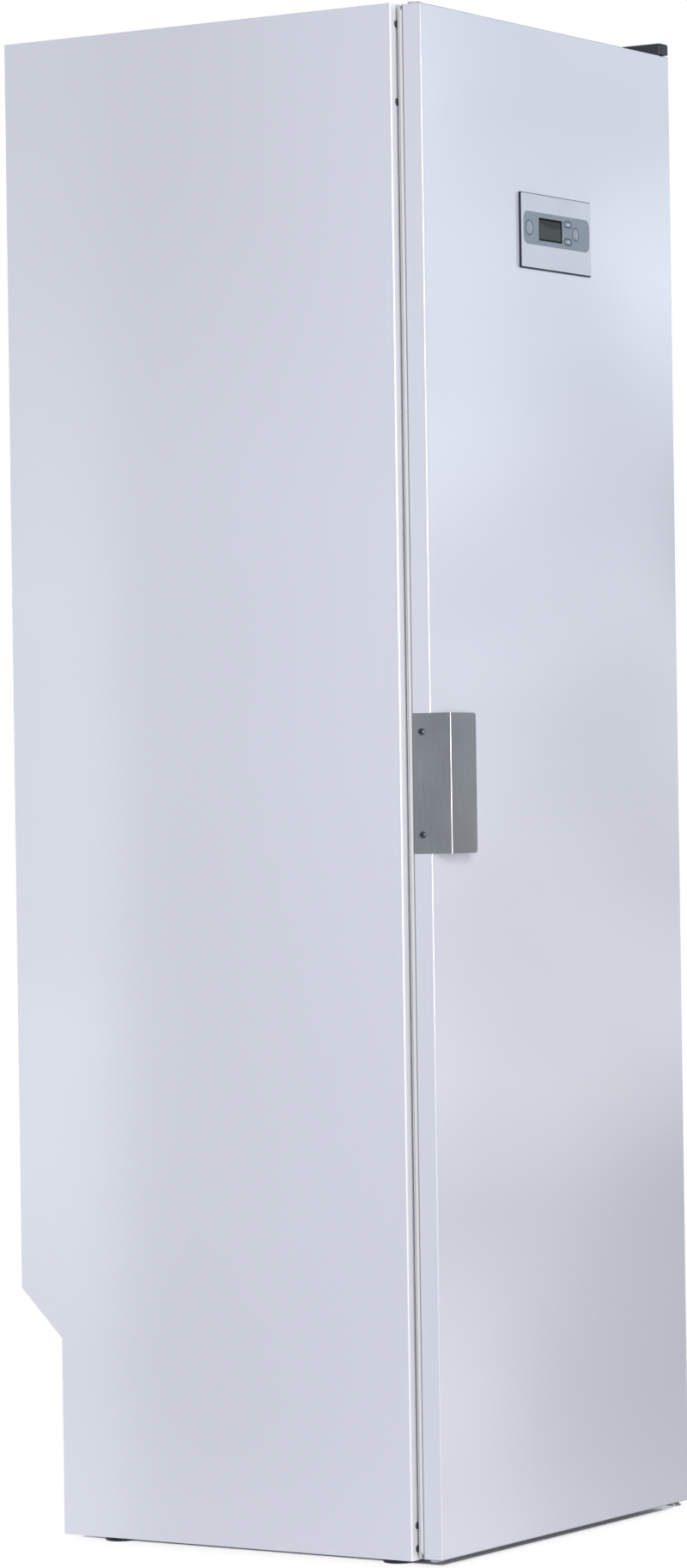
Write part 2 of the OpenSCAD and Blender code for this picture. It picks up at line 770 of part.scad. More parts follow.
// Plugs in the hinge holes of the side without hinges
module hinge_hole_plugs() {
    placed() color(black)
        for (z = plug_levels())
            translate([plug_x, 0, z]) {
                bar_y([0, 0, 0], 6, plug_r - slip);
                translate([0, -2, 0]) rotate([-90, 0, 0])
                    cylinder(h = 2, r1 = plug_head_r * 0.6, r2 = plug_head_r);
            }
}

// Hinges

function arm_screw_places() = [for (y = [24:24:72]) [hinge_x, y]];
function bracket_screw_places() = [for (y = [20, 44]) [hinge_x - 1, y]];
arm_w = cover_w - 8;
arm_back = 84;
bracket_back_y = 60;

// Steel arm on the roof that holds the upper hinge pin
module upper_hinge_arm() {
    placed() color(zinc) difference() {
        raised(z_top, hinge_plate) union() {
            translate([hinge_x - arm_w / 2, hinge_y]) square([arm_w, arm_back - hinge_y]);
            translate([hinge_x, hinge_y]) circle(arm_w / 2);
        }
        bar_z([hinge_x, hinge_y, z_top - eps], hinge_plate + 2 * eps, pin_r);
        for (p = arm_screw_places())
            bar_z([p.x, p.y, z_top - eps], hinge_plate + 2 * eps, screw_r + slip);
    }
}

// Bracket under the cabinet that carries the door on the lower hinge pin
module lower_hinge_bracket() {
    placed() color(zinc) difference() {
        raised(z_bot - hinge_plate, hinge_plate) union() {
            translate([hinge_x - hinge_inset + 2, hinge_y])
                square([2 * (hinge_inset - 2), bracket_back_y - hinge_y]);
            translate([hinge_x, hinge_y]) circle(hinge_inset - 2);
        }
        bar_z([hinge_x, hinge_y, 0], 2 * z_bot, pin_r);
        for (p = bracket_screw_places())
            bar_z([p.x, p.y, 0], 2 * z_bot, screw_r + slip);
    }
}

// The two hinge pins, each fixed in its plate
module hinge_pins() {
    placed() color(zinc) {
        bar_z([hinge_x, hinge_y, z_bot - hinge_plate], hinge_plate + door_bottom_gap + pin_engage, pin_r);
        bar_z([hinge_x, hinge_y, z_top - door_top_gap - pin_engage], pin_engage + door_top_gap + hinge_plate, pin_r);
    }
}

// Screws of the hinge arm and of the lower bracket
module hinge_screws() {
    placed() color(zinc) {
        for (p = arm_screw_places())
            translate([p.x, p.y, z_top + hinge_plate]) mirror([0, 0, 1]) screw(12);
        for (p = bracket_screw_places())
            translate([p.x, p.y, z_bot - hinge_plate]) screw(12);
        for (z = plug_levels())
            translate([cab_w - plug_x, 0, z]) rotate([-90, 0, 0]) screw(8);
    }
}

// Moulded cover over the arm, open below
cover_wall = 1.8;
module hinge_cover() {
    x0 = cab_w - cover_w;
    placed() color(black) difference() {
        intersection() {
            raised(z_top - 1, cover_h + 1) soft_rect([x0, front_y], [cab_w, cover_l], 5);
            across(x0, cover_w) union() {
                soft_rect([front_y, z_top - 10], [cover_l, z_top + cover_h], 3);
            }
        }
        raised(z_top - 2, cover_h + 2 - cover_wall)
            soft_rect([x0 + cover_wall, front_y + cover_wall], [cab_w - cover_wall, cover_l - cover_wall], 4);
        box([x0 - eps, -2, z_top - 2], [cab_w + eps, cover_l + eps, z_top]);
    }
}

// Racks

// A bracket on the left wall: it carries a rack's pivot and has a ledge under the side bar
ledge = 46;
module rack_bracket(z) {
    difference() {
        union() {
            across(flange_w, bracket_t) {
                soft_rect([pivot_y - 14, z - 22], [pivot_y + 14, z + 14], 5);
                translate([pivot_y - ledge, z - 22]) square([ledge, 22 - frame_rod / 2 - seat_gap]);
            }
            across(flange_w, rack_side + frame_rod + 2) difference() {
                translate([pivot_y - ledge, z - 14]) square([20, 14 - frame_rod / 2 - seat_gap]);
                translate([pivot_y - ledge, z - 14]) circle(6);
            }
        }
        bar_x([flange_w - eps, pivot_y, z], bracket_t + 2 * eps, frame_rod / 2 + fit);
    }
}

module rack_brackets() {
    placed() color(grey)
        for (z = [top_rack_z, middle_rack_z, lower_rack_z]) {
            rack_bracket(z);
            translate([cab_w, 0, 0]) mirror([1, 0, 0]) rack_bracket(z);
        }
}

// A hanging rack: a bent frame whose rear bar is the pivot, with thin rods front to back
rack_bend = 24;
rack_tip = 6;
module hanging_rack(z) {
    r = frame_rod / 2;
    y0 = pivot_y - rack_d;
    x0 = rack_x0 + r;
    x1 = rack_x1 - r;
    pitch = (x1 - x0) / (hang_count + 1);
    bar_x([flange_w + bracket_t - rack_tip, pivot_y, z], cab_w - 2 * (flange_w + bracket_t - rack_tip), r);
    for (x = [x0, x1])
        bar_y([x, y0 + rack_bend, z], rack_d - rack_bend, r);
    bar_x([x0 + rack_bend, y0, z], x1 - x0 - 2 * rack_bend, r);
    for (s = [0, 1])
        translate([s == 0 ? x0 + rack_bend : x1 - rack_bend, y0 + rack_bend, z])
            rotate([0, 0, s == 0 ? 180 : 270]) rotate_extrude(angle = 90)
                translate([rack_bend, 0]) circle(r);
    for (i = [1:hang_count])
        bar_y([x0 + i * pitch, y0 - 1, z + r + hang_rod / 2 - 1], rack_d + 2, hang_rod / 2);
}

module top_rack() {
    placed() color(zinc) hanging_rack(top_rack_z);
}
module middle_rack() {
    placed() color(zinc) hanging_rack(middle_rack_z);
}
module lower_rack() {
    placed() color(zinc) hanging_rack(lower_rack_z);
}

// Wire shelf for shoes, standing in the floor tray on four legs
boot_side = 34;
boot_front = 80;
boot_back = 40;
boot_leg_in = 30;
boot_rods = 8;
boot_rack_h = 70;
module boot_rack() {
    r = frame_rod / 2;
    cross_r = r - 1;
    x0 = flange_w + boot_side;
    x1 = cab_w - flange_w - boot_side;
    y0 = boot_front;
    y1 = liner_y - boot_back;
    z = floor_z + boot_rack_h;
    foot_z = floor_z - tray_depth + tray_t;
    placed() color(zinc) {
        for (x = [x0, x1]) {
            bar_y([x, y0 - r, z], y1 - y0 + 2 * r, r);
            for (y = [y0 + boot_leg_in, y1 - boot_leg_in])
                bar_z([x, y, foot_z], z - foot_z, cross_r);
        }
        for (y = [y0, y1])
            bar_x([x0, y, z], x1 - x0, cross_r);
        for (i = [1:boot_rods])
            bar_y([x0 + i * (x1 - x0) / (boot_rods + 1), y0 - 1, z + cross_r + hang_rod / 2 - 1],
                y1 - y0 + 2, hang_rod / 2);
    }
}

// Feet

// Hexagonal nuts on the base pan, one over each foot
module foot_nuts() {
    placed() color(zinc)
        for (p = feet)
            translate([p.x, p.y, z_bot + sheet]) difference() {
                cylinder(h = nut_h, r = nut_r, $fn = 6);
                translate([0, 0, -eps]) cylinder(h = nut_h + 2 * eps, r = stud_r + fit);
            }
}

// A levelling foot: a disc with a chamfered rim on a stud
module foot(p) {
    placed() color(black) translate([p.x, p.y, 0]) {
        cylinder(h = foot_h - 3, r = foot_r);
        translate([0, 0, foot_h - 3]) cylinder(h = 3, r1 = foot_r, r2 = foot_r - 5);
        cylinder(h = foot_h + stud_l, r = stud_r);
    }
}
module foot_front_left() {
    foot(feet[0]);
}
module foot_front_right() {
    foot(feet[1]);
}
module foot_rear_left() {
    foot(feet[2]);
}
module foot_rear_right() {
    foot(feet[3]);
}

// Door

// Outer skin: a pan with bent edges and a flange turned in behind its sides
skin_return = 14;
module door_skin() {
    placed() color(paint) difference() {
        bent_block([0, front_y, door_z0], [cab_w, seam_y, door_z1], bend_r);
        bent_block([sheet, front_y + sheet, door_z0 + sheet],
            [cab_w - sheet, seam_y - sheet, door_z1 - sheet], bend_r - sheet / 2);
        box([skin_return, seam_y - 2 * sheet, door_z0 + skin_return],
            [cab_w - skin_return, seam_y + eps, door_z1 - skin_return]);
        for (x = [hinge_inset, hinge_x], z = [door_z0, door_z1])
            bar_z([x, hinge_y, z - 3 * sheet], 6 * sheet, bush_r + slip / 2);
        for (z = handle_screw_levels())
            bar_x([-eps, handle_screw_y, z], sheet + 2 * eps, screw_r + slip);
        box([plate_x + 20, front_y - eps, plate_z + 15],
            [plate_x + plate_w - 20, front_y + sheet + eps, plate_z + plate_h - 15]);
    }
}

// Insulation between the skins, with pockets round the controls and hinges
module door_insulation() {
    m = 12;
    edge = sheet + bend_r;
    nut_room = 24;
    placed() color([0.85, 0.80, 0.62]) difference() {
        box([edge, front_y + sheet, door_z0 + edge], [cab_w - edge, seam_y - sheet, door_z1 - edge]);
        for (x = [hinge_inset, hinge_x], z = [door_z0 + bush_l - 10, door_z1 - bush_l + 10])
            box([x - m, hinge_y - m, z - bush_l], [x + m, hinge_y + m, z + bush_l]);
        box([housing_x0 - 2, front_y - eps, plate_z - 2],
            [housing_x1 + 2, front_y + sheet + housing_d + 2, plate_z + plate_h + 2]);
        box([-eps, front_y, handle_z + handle_h / 2 - handle_pitch / 2 - nut_room],
            [nut_room, seam_y, handle_z + handle_h / 2 + handle_pitch / 2 + nut_room]);
    }
}

// Inner pan: a shallow tray with a rounded rim, its open side to the skin, with a pressed field
pan_corner = 6;
field_inset = 60;
field_depth = 2.5;
field_corner = 24;
module pan_outline(inset, r) {
    soft_rect([lip_side + inset, door_z0 + lip_inset + inset],
        [cab_w - lip_side - inset, door_z1 - lip_inset - inset], r);
}
module door_inner_pan() {
    placed() color(liner_paint) difference() {
        union() {
            difference() {
                backward(seam_y, lip_t) pan_outline(0, pan_corner);
                backward(seam_y - eps, lip_t + eps - sheet) pan_outline(sheet, pan_corner - sheet);
            }
            backward(lip_y - sheet - field_depth, field_depth + sheet)
                pan_outline(field_inset - sheet, field_corner + sheet);
        }
        backward(lip_y - field_depth, field_depth + eps) pan_outline(field_inset, field_corner);
    }
}

// Magnetic gasket: a frame with a base, a narrow bellows and a sealing face
module gasket_ring(a, w) {
    difference() {
        translate([gasket_inset + a, z_bot + gasket_inset + a])
            square([cab_w - 2 * (gasket_inset + a), cab_h - 2 * (gasket_inset + a)]);
        translate([gasket_inset + a + w, z_bot + gasket_inset + a + w])
            square([cab_w - 2 * (gasket_inset + a + w), cab_h - 2 * (gasket_inset + a + w)]);
    }
}
module door_gasket() {
    face = 4;
    base_t = 3;
    placed() color([0.30, 0.31, 0.33]) {
        backward(lip_y, base_t)
            gasket_ring(gasket_base_inset - gasket_inset, gasket_inset + gasket_w - gasket_base_inset);
        backward(lip_y + base_t, door_gap - seat_gap - face - base_t)
            gasket_ring(gasket_w * 0.25, gasket_w * 0.5);
        backward(-seat_gap - face, face) gasket_ring(0, gasket_w);
    }
}

// Bushes: a sleeve with a flange, its bore open towards the flange
module bush(flange_t) {
    difference() {
        union() {
            cylinder(h = bush_l, r = bush_r);
            translate([0, 0, -flange_t]) cylinder(h = flange_t, r = bush_flange_r);
        }
        translate([0, 0, -flange_t - eps]) cylinder(h = flange_t + eps + pin_engage + 2, r = pin_r + fit);
    }
}
module bush_pair(x) {
    translate([x, hinge_y, door_z0]) bush(door_bottom_gap - seat_gap);
    translate([x, hinge_y, door_z1]) mirror([0, 0, 1]) bush(door_top_gap - seat_gap);
}
module door_hinge_bushes() {
    placed() color(grey) bush_pair(hinge_x);
}
module spare_bushes() {
    placed() color(grey) bush_pair(hinge_inset);
}

// Rack for gloves on the inside of the door: two bars with slanting pegs
peg_l = 46;
peg_count = 5;
peg_tilt = 30;
glove_side = 114;
glove_out = 12;
glove_foot = 8;
glove_levels = [handle_z + handle_h + 130, handle_z + handle_h + 330];
module glove_rack() {
    r = hang_rod / 2;
    x0 = glove_side;
    x1 = cab_w - glove_side;
    y0 = lip_y - field_depth;
    first = 3 * glove_foot;
    placed() color(zinc)
        for (z = glove_levels) {
            bar_x([x0, lip_y + glove_out, z], x1 - x0, r);
            for (x = [x0 + glove_foot, x1 - glove_foot]) {
                bar_y([x, y0, z], glove_out + field_depth, r);
                bar_y([x, y0, z], 2, 3 * r);
            }
            for (i = [0:peg_count - 1])
                translate([x0 + first + i * (x1 - x0 - 2 * first) / (peg_count - 1), lip_y + glove_out, z])
                    rotate([peg_tilt - 90, 0, 0]) {
                        cylinder(h = peg_l, r = r);
                        translate([0, 0, peg_l]) sphere(r * 1.8);
                    }
        }
}

// Handle: one stainless plate bent at a right angle, its front corners rounder than its side ones
handle_bend = 2;
handle_corner = 4;
handle_side_corner = 1;
handle_screw_y = front_y + 12.4;
function handle_screw_levels() = [for (s = [-1, 1]) handle_z + handle_h / 2 + s * handle_pitch / 2];
module handle() {
    x0 = -handle_t;
    y1 = front_y + handle_grip;
    far = 2 * handle_corner;
    placed() color(stainless) difference() {
        intersection() {
            raised(handle_z, handle_h) difference() {
                soft_rect([x0, handle_y], [handle_w + far, y1 + far], handle_bend);
                soft_rect([0, handle_y + handle_t], [handle_w + 2 * far, y1 + 2 * far], handle_bend - handle_t / 2);
            }
            backward(handle_y, handle_grip + handle_reach)
                soft_rect([x0 - far, handle_z], [handle_w, handle_z + handle_h], handle_corner);
            across(x0, handle_w + handle_t)
                soft_rect([handle_y - far, handle_z], [y1, handle_z + handle_h], handle_side_corner);
        }
        for (z = handle_screw_levels())
            bar_x([x0 - eps, handle_screw_y, z], handle_t + 2 * eps, screw_r + slip);
    }
}

module handle_screws() {
    placed() color(zinc)
        for (z = handle_screw_levels())
            translate([-handle_t, handle_screw_y, z]) rotate([0, 90, 0]) difference() {
                screw(handle_t + 12);
                translate([0, 0, -head_h - eps]) cylinder(h = 1 + eps, r = 1.4, $fn = 6);
            }
}

// Plate with threaded bosses behind the door's side, for the handle screws
module handle_nut_plate() {
    z0 = handle_z + handle_h / 2 - handle_pitch / 2 - 12;
    placed() color(zinc) difference() {
        union() {
            box([sheet, handle_screw_y - 9, z0], [sheet + 2, handle_screw_y + 9, z0 + handle_pitch + 24]);
            for (z = handle_screw_levels())
                bar_x([sheet, handle_screw_y, z], 10, 5);
        }
        for (z = handle_screw_levels())
            bar_x([0, handle_screw_y, z], 20, screw_r + fit);
    }
}

// Controls

// Outline of one kind of key: a round one, or an oval for an arrow
module key_outline(name, grow) {
    if (name == "power")
        translate([power_x, keys_z]) circle(round_key_r + grow);
    if (name == "ok")
        translate([ok_x, keys_z]) circle(ok_r + grow);
    if (name == "up" || name == "down")
        translate([arrow_x, keys_z + (name == "up" ? arrow_rise : -arrow_rise)]) {
            square([arrow_w - arrow_h, arrow_h + 2 * grow], center = true);
            for (s = [-1, 1])
                translate([s * (arrow_w - arrow_h) / 2, 0]) circle(arrow_h / 2 + grow);
        }
}
module display_outline(grow) {
    translate([display_x - grow, keys_z - display_h / 2 - grow])
        square([display_w + 2 * grow, display_h + 2 * grow]);
}
module band_outline(grow) {
    soft_rect([plate_x + band_margin - grow, keys_z - band_h / 2 - grow],
        [plate_x + plate_w - band_margin + grow, keys_z + band_h / 2 + grow], band_r);
}
keys = ["power", "up", "down", "ok"];

// Clear plate on the front of the door, with a pocket for the keypad
module control_plate() {
    placed() color([0.80, 0.83, 0.88]) difference() {
        bent_block([plate_x, plate_y, plate_z], [plate_x + plate_w, front_y, plate_z + plate_h], 0.8);
        backward(plate_y - eps, band_t + eps) band_outline(0);
        backward(plate_y - eps, button_t - button_proud + button_travel + slip + eps)
            for (k = keys)
                key_outline(k, slip);
        backward(plate_y - eps, 1.6 + eps) display_outline(0);
    }
}

// Grey keypad band let into the plate
module keypad_band() {
    placed() color(grey) difference() {
        backward(plate_y, band_t) band_outline(0);
        backward(plate_y - eps, band_t + 2 * eps) {
            display_outline(0);
            for (k = keys)
                key_outline(k, slip);
        }
    }
}

// Display window, a dark pane with a raised rim
module display_window() {
    rim = 2.6;
    placed() color([0.20, 0.23, 0.20]) difference() {
        backward(plate_y, 1.6) display_outline(0);
        backward(plate_y - eps, 0.3 + eps) display_outline(-rim);
    }
}

// Housing behind the plate, inside the door
housing_x0 = plate_x + 10;
housing_x1 = plate_x + plate_w - 10;
housing_d = 17;
module control_housing() {
    y0 = front_y + sheet;
    placed() color(black) difference() {
        box([housing_x0, y0, plate_z + 6], [housing_x1, y0 + housing_d, plate_z + plate_h - 6]);
        box([housing_x0 + 2, y0 - eps, plate_z + 8], [housing_x1 - 2, y0 + housing_d - 2, plate_z + plate_h - 8]);
    }
}

// Circuit board on posts in the housing, with its relay and chips
module circuit_board() {
    y0 = front_y + sheet + 6;
    placed() color([0.10, 0.35, 0.20]) {
        box([housing_x0 + 4, y0, plate_z + 10], [housing_x1 - 4, y0 + 1.6, plate_z + plate_h - 10]);
        box([housing_x0 + 12, y0 - 4, plate_z + 20], [housing_x0 + 40, y0, plate_z + 34]);
        for (i = [0:2])
            box([housing_x0 + 60 + i * 22, y0 - 2, plate_z + 22], [housing_x0 + 74 + i * 22, y0, plate_z + 36]);
        for (x = [housing_x0 + 10, housing_x1 - 10], z = [plate_z + 16, plate_z + plate_h - 16])
            bar_y([x, y0 + 1.6, z], housing_d - 2 - 7.6, 3);
    }
}

// Keys, slightly proud of the plate
module key(name) {
    placed() color([0.80, 0.82, 0.85])
        backward(plate_y - button_proud, button_t) key_outline(name, 0);
}
module power_button() {
    key("power");
}
module up_button() {
    key("up");
}
module down_button() {
    key("down");
}
module ok_button() {
    key("ok");
}

side_panel_left();
side_panel_right();
rear_panel();
roof_panel();
base_pan();
fascia_panel();
sill_rail();
inner_liner();
floor_tray();
ceiling_panel();
lint_filter();
fan_scroll();
fan_motor();
motor_shaft();
blower_wheel();
heater_box();
heater_element();
limit_thermostats();
terminal_box();
exhaust_duct();
exhaust_spigot();
inlet_grille();
cable_gland();
hinge_hole_plugs();
upper_hinge_arm();
lower_hinge_bracket();
hinge_pins();
hinge_screws();
hinge_cover();
rack_brackets();
top_rack();
middle_rack();
lower_rack();
boot_rack();
foot_nuts();
foot_front_left();
foot_front_right();
foot_rear_left();
foot_rear_right();
rear_screws();
door_skin();
door_insulation();
door_inner_pan();
door_gasket();
door_hinge_bushes();
spare_bushes();
glove_rack();
handle();
handle_screws();
handle_nut_plate();
control_plate();
keypad_band();
display_window();
control_housing();
circuit_board();
power_button();
up_button();
down_button();
ok_button();
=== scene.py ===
"""Finished pieces of a vented drying cabinet, made around its fixed frame."""

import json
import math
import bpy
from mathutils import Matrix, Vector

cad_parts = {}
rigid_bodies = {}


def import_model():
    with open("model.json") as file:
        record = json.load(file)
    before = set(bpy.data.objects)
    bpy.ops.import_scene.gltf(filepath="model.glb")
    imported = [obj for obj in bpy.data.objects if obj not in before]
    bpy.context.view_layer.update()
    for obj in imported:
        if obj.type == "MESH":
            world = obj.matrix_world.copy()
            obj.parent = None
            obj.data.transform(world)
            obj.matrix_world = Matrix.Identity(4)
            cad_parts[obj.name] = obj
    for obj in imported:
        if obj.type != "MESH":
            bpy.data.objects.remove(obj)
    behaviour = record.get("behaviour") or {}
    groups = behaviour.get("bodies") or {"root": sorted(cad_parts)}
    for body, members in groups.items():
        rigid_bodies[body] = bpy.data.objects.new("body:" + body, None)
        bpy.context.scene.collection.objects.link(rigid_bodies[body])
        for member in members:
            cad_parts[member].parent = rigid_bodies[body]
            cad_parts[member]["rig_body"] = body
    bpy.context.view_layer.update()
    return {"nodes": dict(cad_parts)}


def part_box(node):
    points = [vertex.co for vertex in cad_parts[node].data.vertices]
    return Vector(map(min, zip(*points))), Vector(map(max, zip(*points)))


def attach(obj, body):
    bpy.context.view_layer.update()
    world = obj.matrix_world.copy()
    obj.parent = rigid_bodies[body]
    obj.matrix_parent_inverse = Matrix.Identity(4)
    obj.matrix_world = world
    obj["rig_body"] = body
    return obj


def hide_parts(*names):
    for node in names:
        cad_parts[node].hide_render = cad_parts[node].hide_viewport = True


bl_info = {
    "name": "Drying cabinet",
    "version": (1, 0, 0),
    "blender": (4, 5, 0),
    "location": "View3D > Sidebar > Drying cabinet",
    "description": "Models and paints a vented drying cabinet with its door, racks and controls",
    "category": "Object",
}

import bmesh
import bpy
from mathutils import Matrix, Vector

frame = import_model()

MM = 0.001
HAIR = 0.00005  # a step between two faces that would otherwise lie in one plane
WELD = 1e-6  # vertices nearer than this are one
TURN = math.tau
QUARTER = math.pi / 2
KEYS = ("power_button", "up_button", "down_button", "ok_button")
ARROWS = ("up_button", "down_button")


def low(node):
    """Lowest corner of a node's box."""
    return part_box(node)[0]


def high(node):
    """Highest corner of a node's box."""
    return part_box(node)[1]


# The cabinet's main planes, read from the frame
LEFT = low("side_panel_left").x
RIGHT = high("side_panel_right").x
FLANGE_Y = low("side_panel_left").y
BACK_Y = high("side_panel_left").y
BOTTOM = low("side_panel_left").z
TOP = high("side_panel_left").z
FLANGE_W = high("side_panel_left").x - LEFT
DOOR_FRONT = low("door_skin").y
SEAM_Y = high("door_skin").y
LIP_Y = high("door_inner_pan").y


# Properties


def length(name, description, mm):
    """A length property; its default is given in millimetres."""
    return bpy.props.FloatProperty(
        name=name, description=description, default=mm * MM, min=0.0, precision=4, unit="LENGTH"
    )


def count(name, description, number):
    """A property that counts pieces."""
    return bpy.props.IntProperty(name=name, description=description, default=number, min=1)


def angle(name, description, degrees):
    """An angle property; its default is given in degrees."""
    return bpy.props.FloatProperty(
        name=name, description=description, default=math.radians(degrees), unit="ROTATION"
    )


def amount(name, description, value, top=50.0):
    """A plain number property."""
    return bpy.props.FloatProperty(
        name=name, description=description, default=value, min=0.0, max=top
    )


def colour(name, description, rgb):
    """A colour property."""
    return bpy.props.FloatVectorProperty(
        name=name, description=description, subtype="COLOR", size=3, min=0.0, max=1.0, default=rgb
    )


def position(name, description, metres):
    """A position property; its default is given in metres."""
    return bpy.props.FloatProperty(
        name=name, description=description, default=metres, unit="LENGTH"
    )


class SheetSizes(bpy.types.PropertyGroup):
    """Sizes of the bent sheet metal."""

    thickness: length("Sheet", "Thickness of the painted steel sheet", 1.0)
    bend: length("Bend", "Outside radius of a bend in the sheet", 2.0)
    rear_flange: length("Rear flange", "Width of the flange at the back of a side panel", 14.0)
    notch_height: length(
        "Notch height", "Height of the upright part of the notch at the lower back", 240.0
    )
    bead_width: length("Bead width", "Width of a stiffening bead in the rear panel", 7.0)
    bead_depth: length("Bead depth", "Depth of a stiffening bead", 3.2)
    bead_side: length("Bead end", "Distance from the end of a bead to the side", 81.0)
    bead_first: length("First bead", "Height of the first bead above the notch", 160.0)
    bead_pitch: length("Bead pitch", "Distance between two beads", 170.0)


class DoorSizes(bpy.types.PropertyGroup):
    """Sizes of the door and its gasket."""

    # The grey strip in the seam is painted shade along the seam's groove
    seal: length("Seam seal", "Width of the seal in the seam of the door", 1.1)
    skin_return: length("Return", "Width of the flange behind the door skin", 14.0)
    pan_corner: length("Pan corner", "Corner radius of the inner pan", 6.0)
    pan_edge: length("Pan edge", "Radius of the inner pan's rim", 1.6)
    field_inset: length("Field inset", "Distance from the pan's edge to its pressed field", 60.0)
    field_depth: length("Field depth", "Depth of the pressed field", 2.5)
    field_corner: length("Field corner", "Corner radius of the pressed field", 24.0)
    gasket_inset: length(
        "Gasket inset", "Distance from the gasket's face to the side of the door", 18.0
    )
    gasket_width: length("Gasket width", "Width of the gasket's face", 14.0)
    gasket_base: length("Gasket base", "Thickness of the gasket's base strip", 3.0)
    gasket_face: length("Gasket face", "Thickness of the magnetic face", 4.0)


class HandleSizes(bpy.types.PropertyGroup):
    """Sizes of the bent handle."""

    thickness: length("Plate", "Thickness of the stainless plate", 2.0)
    bend: length("Bend", "Outside radius of the bend", 2.0)
    corner: length("Front corner", "Radius of the corners in front of the door", 4.0)
    side_corner: length("Side corner", "Radius of the corners on the door's side", 1.0)
    edge: length("Edge", "Eased edge of the plate", 0.25)
    head: length("Screw head", "Radius of a handle screw's head", 4.0)
    head_height: length("Head height", "Height of a handle screw's head", 1.8)


class ControlSizes(bpy.types.PropertyGroup):
    """Sizes of the control panel."""

    corner: length("Plate corner", "Corner radius of the control plate", 1.2)
    clear: length("Clear layer", "Thickness of the plate's clear front layer", 1.2)
    # The bevel is a real chamfer; its brightness is a painted highlight from its near white,
    # glowing finish
    bevel: length("Plate bevel", "Width of the bright bevel round the front layer", 1.1)
    # The dark base shows wider under the front layer than above it: a real dark edge, widened at
    # the bottom as a painted shadow below the plate
    step_low: length("Lower step", "Part of the dark base that shows under the front layer", 1.8)
    step_high: length("Upper step", "Part of the dark base that shows above the front layer", 1.0)
    step_right: length(
        "Right step", "Part of the dark base that shows right of the front layer", 1.3
    )
    band_corner: length("Band corner", "Corner radius of the grey band", 10.0)
    # The dark ring round a key is painted shade for the narrow gap round the key
    ring: length("Key ring", "Width of the printed ring round a key", 1.3)
    arrow_ring: length("Arrow key ring", "Width of the printed ring round an arrow key", 1.8)
    dome: length("Key dome", "Height of a key's dome", 0.3)
    display_rim: length("Display rim", "Width of the black rim round the display", 2.6)
    display_depth: length("Display depth", "Depth of the display pane behind its rim", 0.3)


class RackSizes(bpy.types.PropertyGroup):
    """Sizes of the wire racks."""

    frame_rod: length("Frame rod", "Diameter of a rack's frame", 8.0)
    hang_rod: length("Hanging rod", "Diameter of a hanging rod", 5.0)
    hang_count: count("Hanging rods", "Number of hanging rods on a rack", 10)
    side: length("Side", "Distance from the liner to a rack's side bar", 12.0)
    bend: length("Bend", "Radius of the bends in a rack's frame", 24.0)
    boot_rods: count("Shelf rods", "Number of rods on the boot rack", 8)
    boot_leg: length("Leg", "Distance from a leg to the end of the boot rack", 30.0)
    pegs: count("Pegs", "Number of pegs on a bar of the glove rack", 5)
    peg: length("Peg", "Length of a glove peg", 46.0)
    peg_tilt: angle("Peg tilt", "Angle by which a peg points up", 30.0)
    glove_out: length("Glove bar", "Distance from the inner pan to the glove bar", 12.0)
    glove_foot: length("Glove foot", "Distance from a foot to the end of the glove bar", 8.0)


class PartSizes(bpy.types.PropertyGroup):
    """Sizes of small parts."""

    cover_wall: length("Cover wall", "Thickness of the hinge cover", 1.8)
    cover_edge: length("Cover edge", "Rounding of the hinge cover", 3.0)
    plug: length("Plug", "Radius of a hole plug", 4.5)
    foot: length("Foot", "Radius of a levelling foot", 19.0)
    stud: length("Stud", "Radius of a foot's stud", 5.0)
    spigot_wall: length("Spigot wall", "Thickness of the exhaust spigot", 1.0)


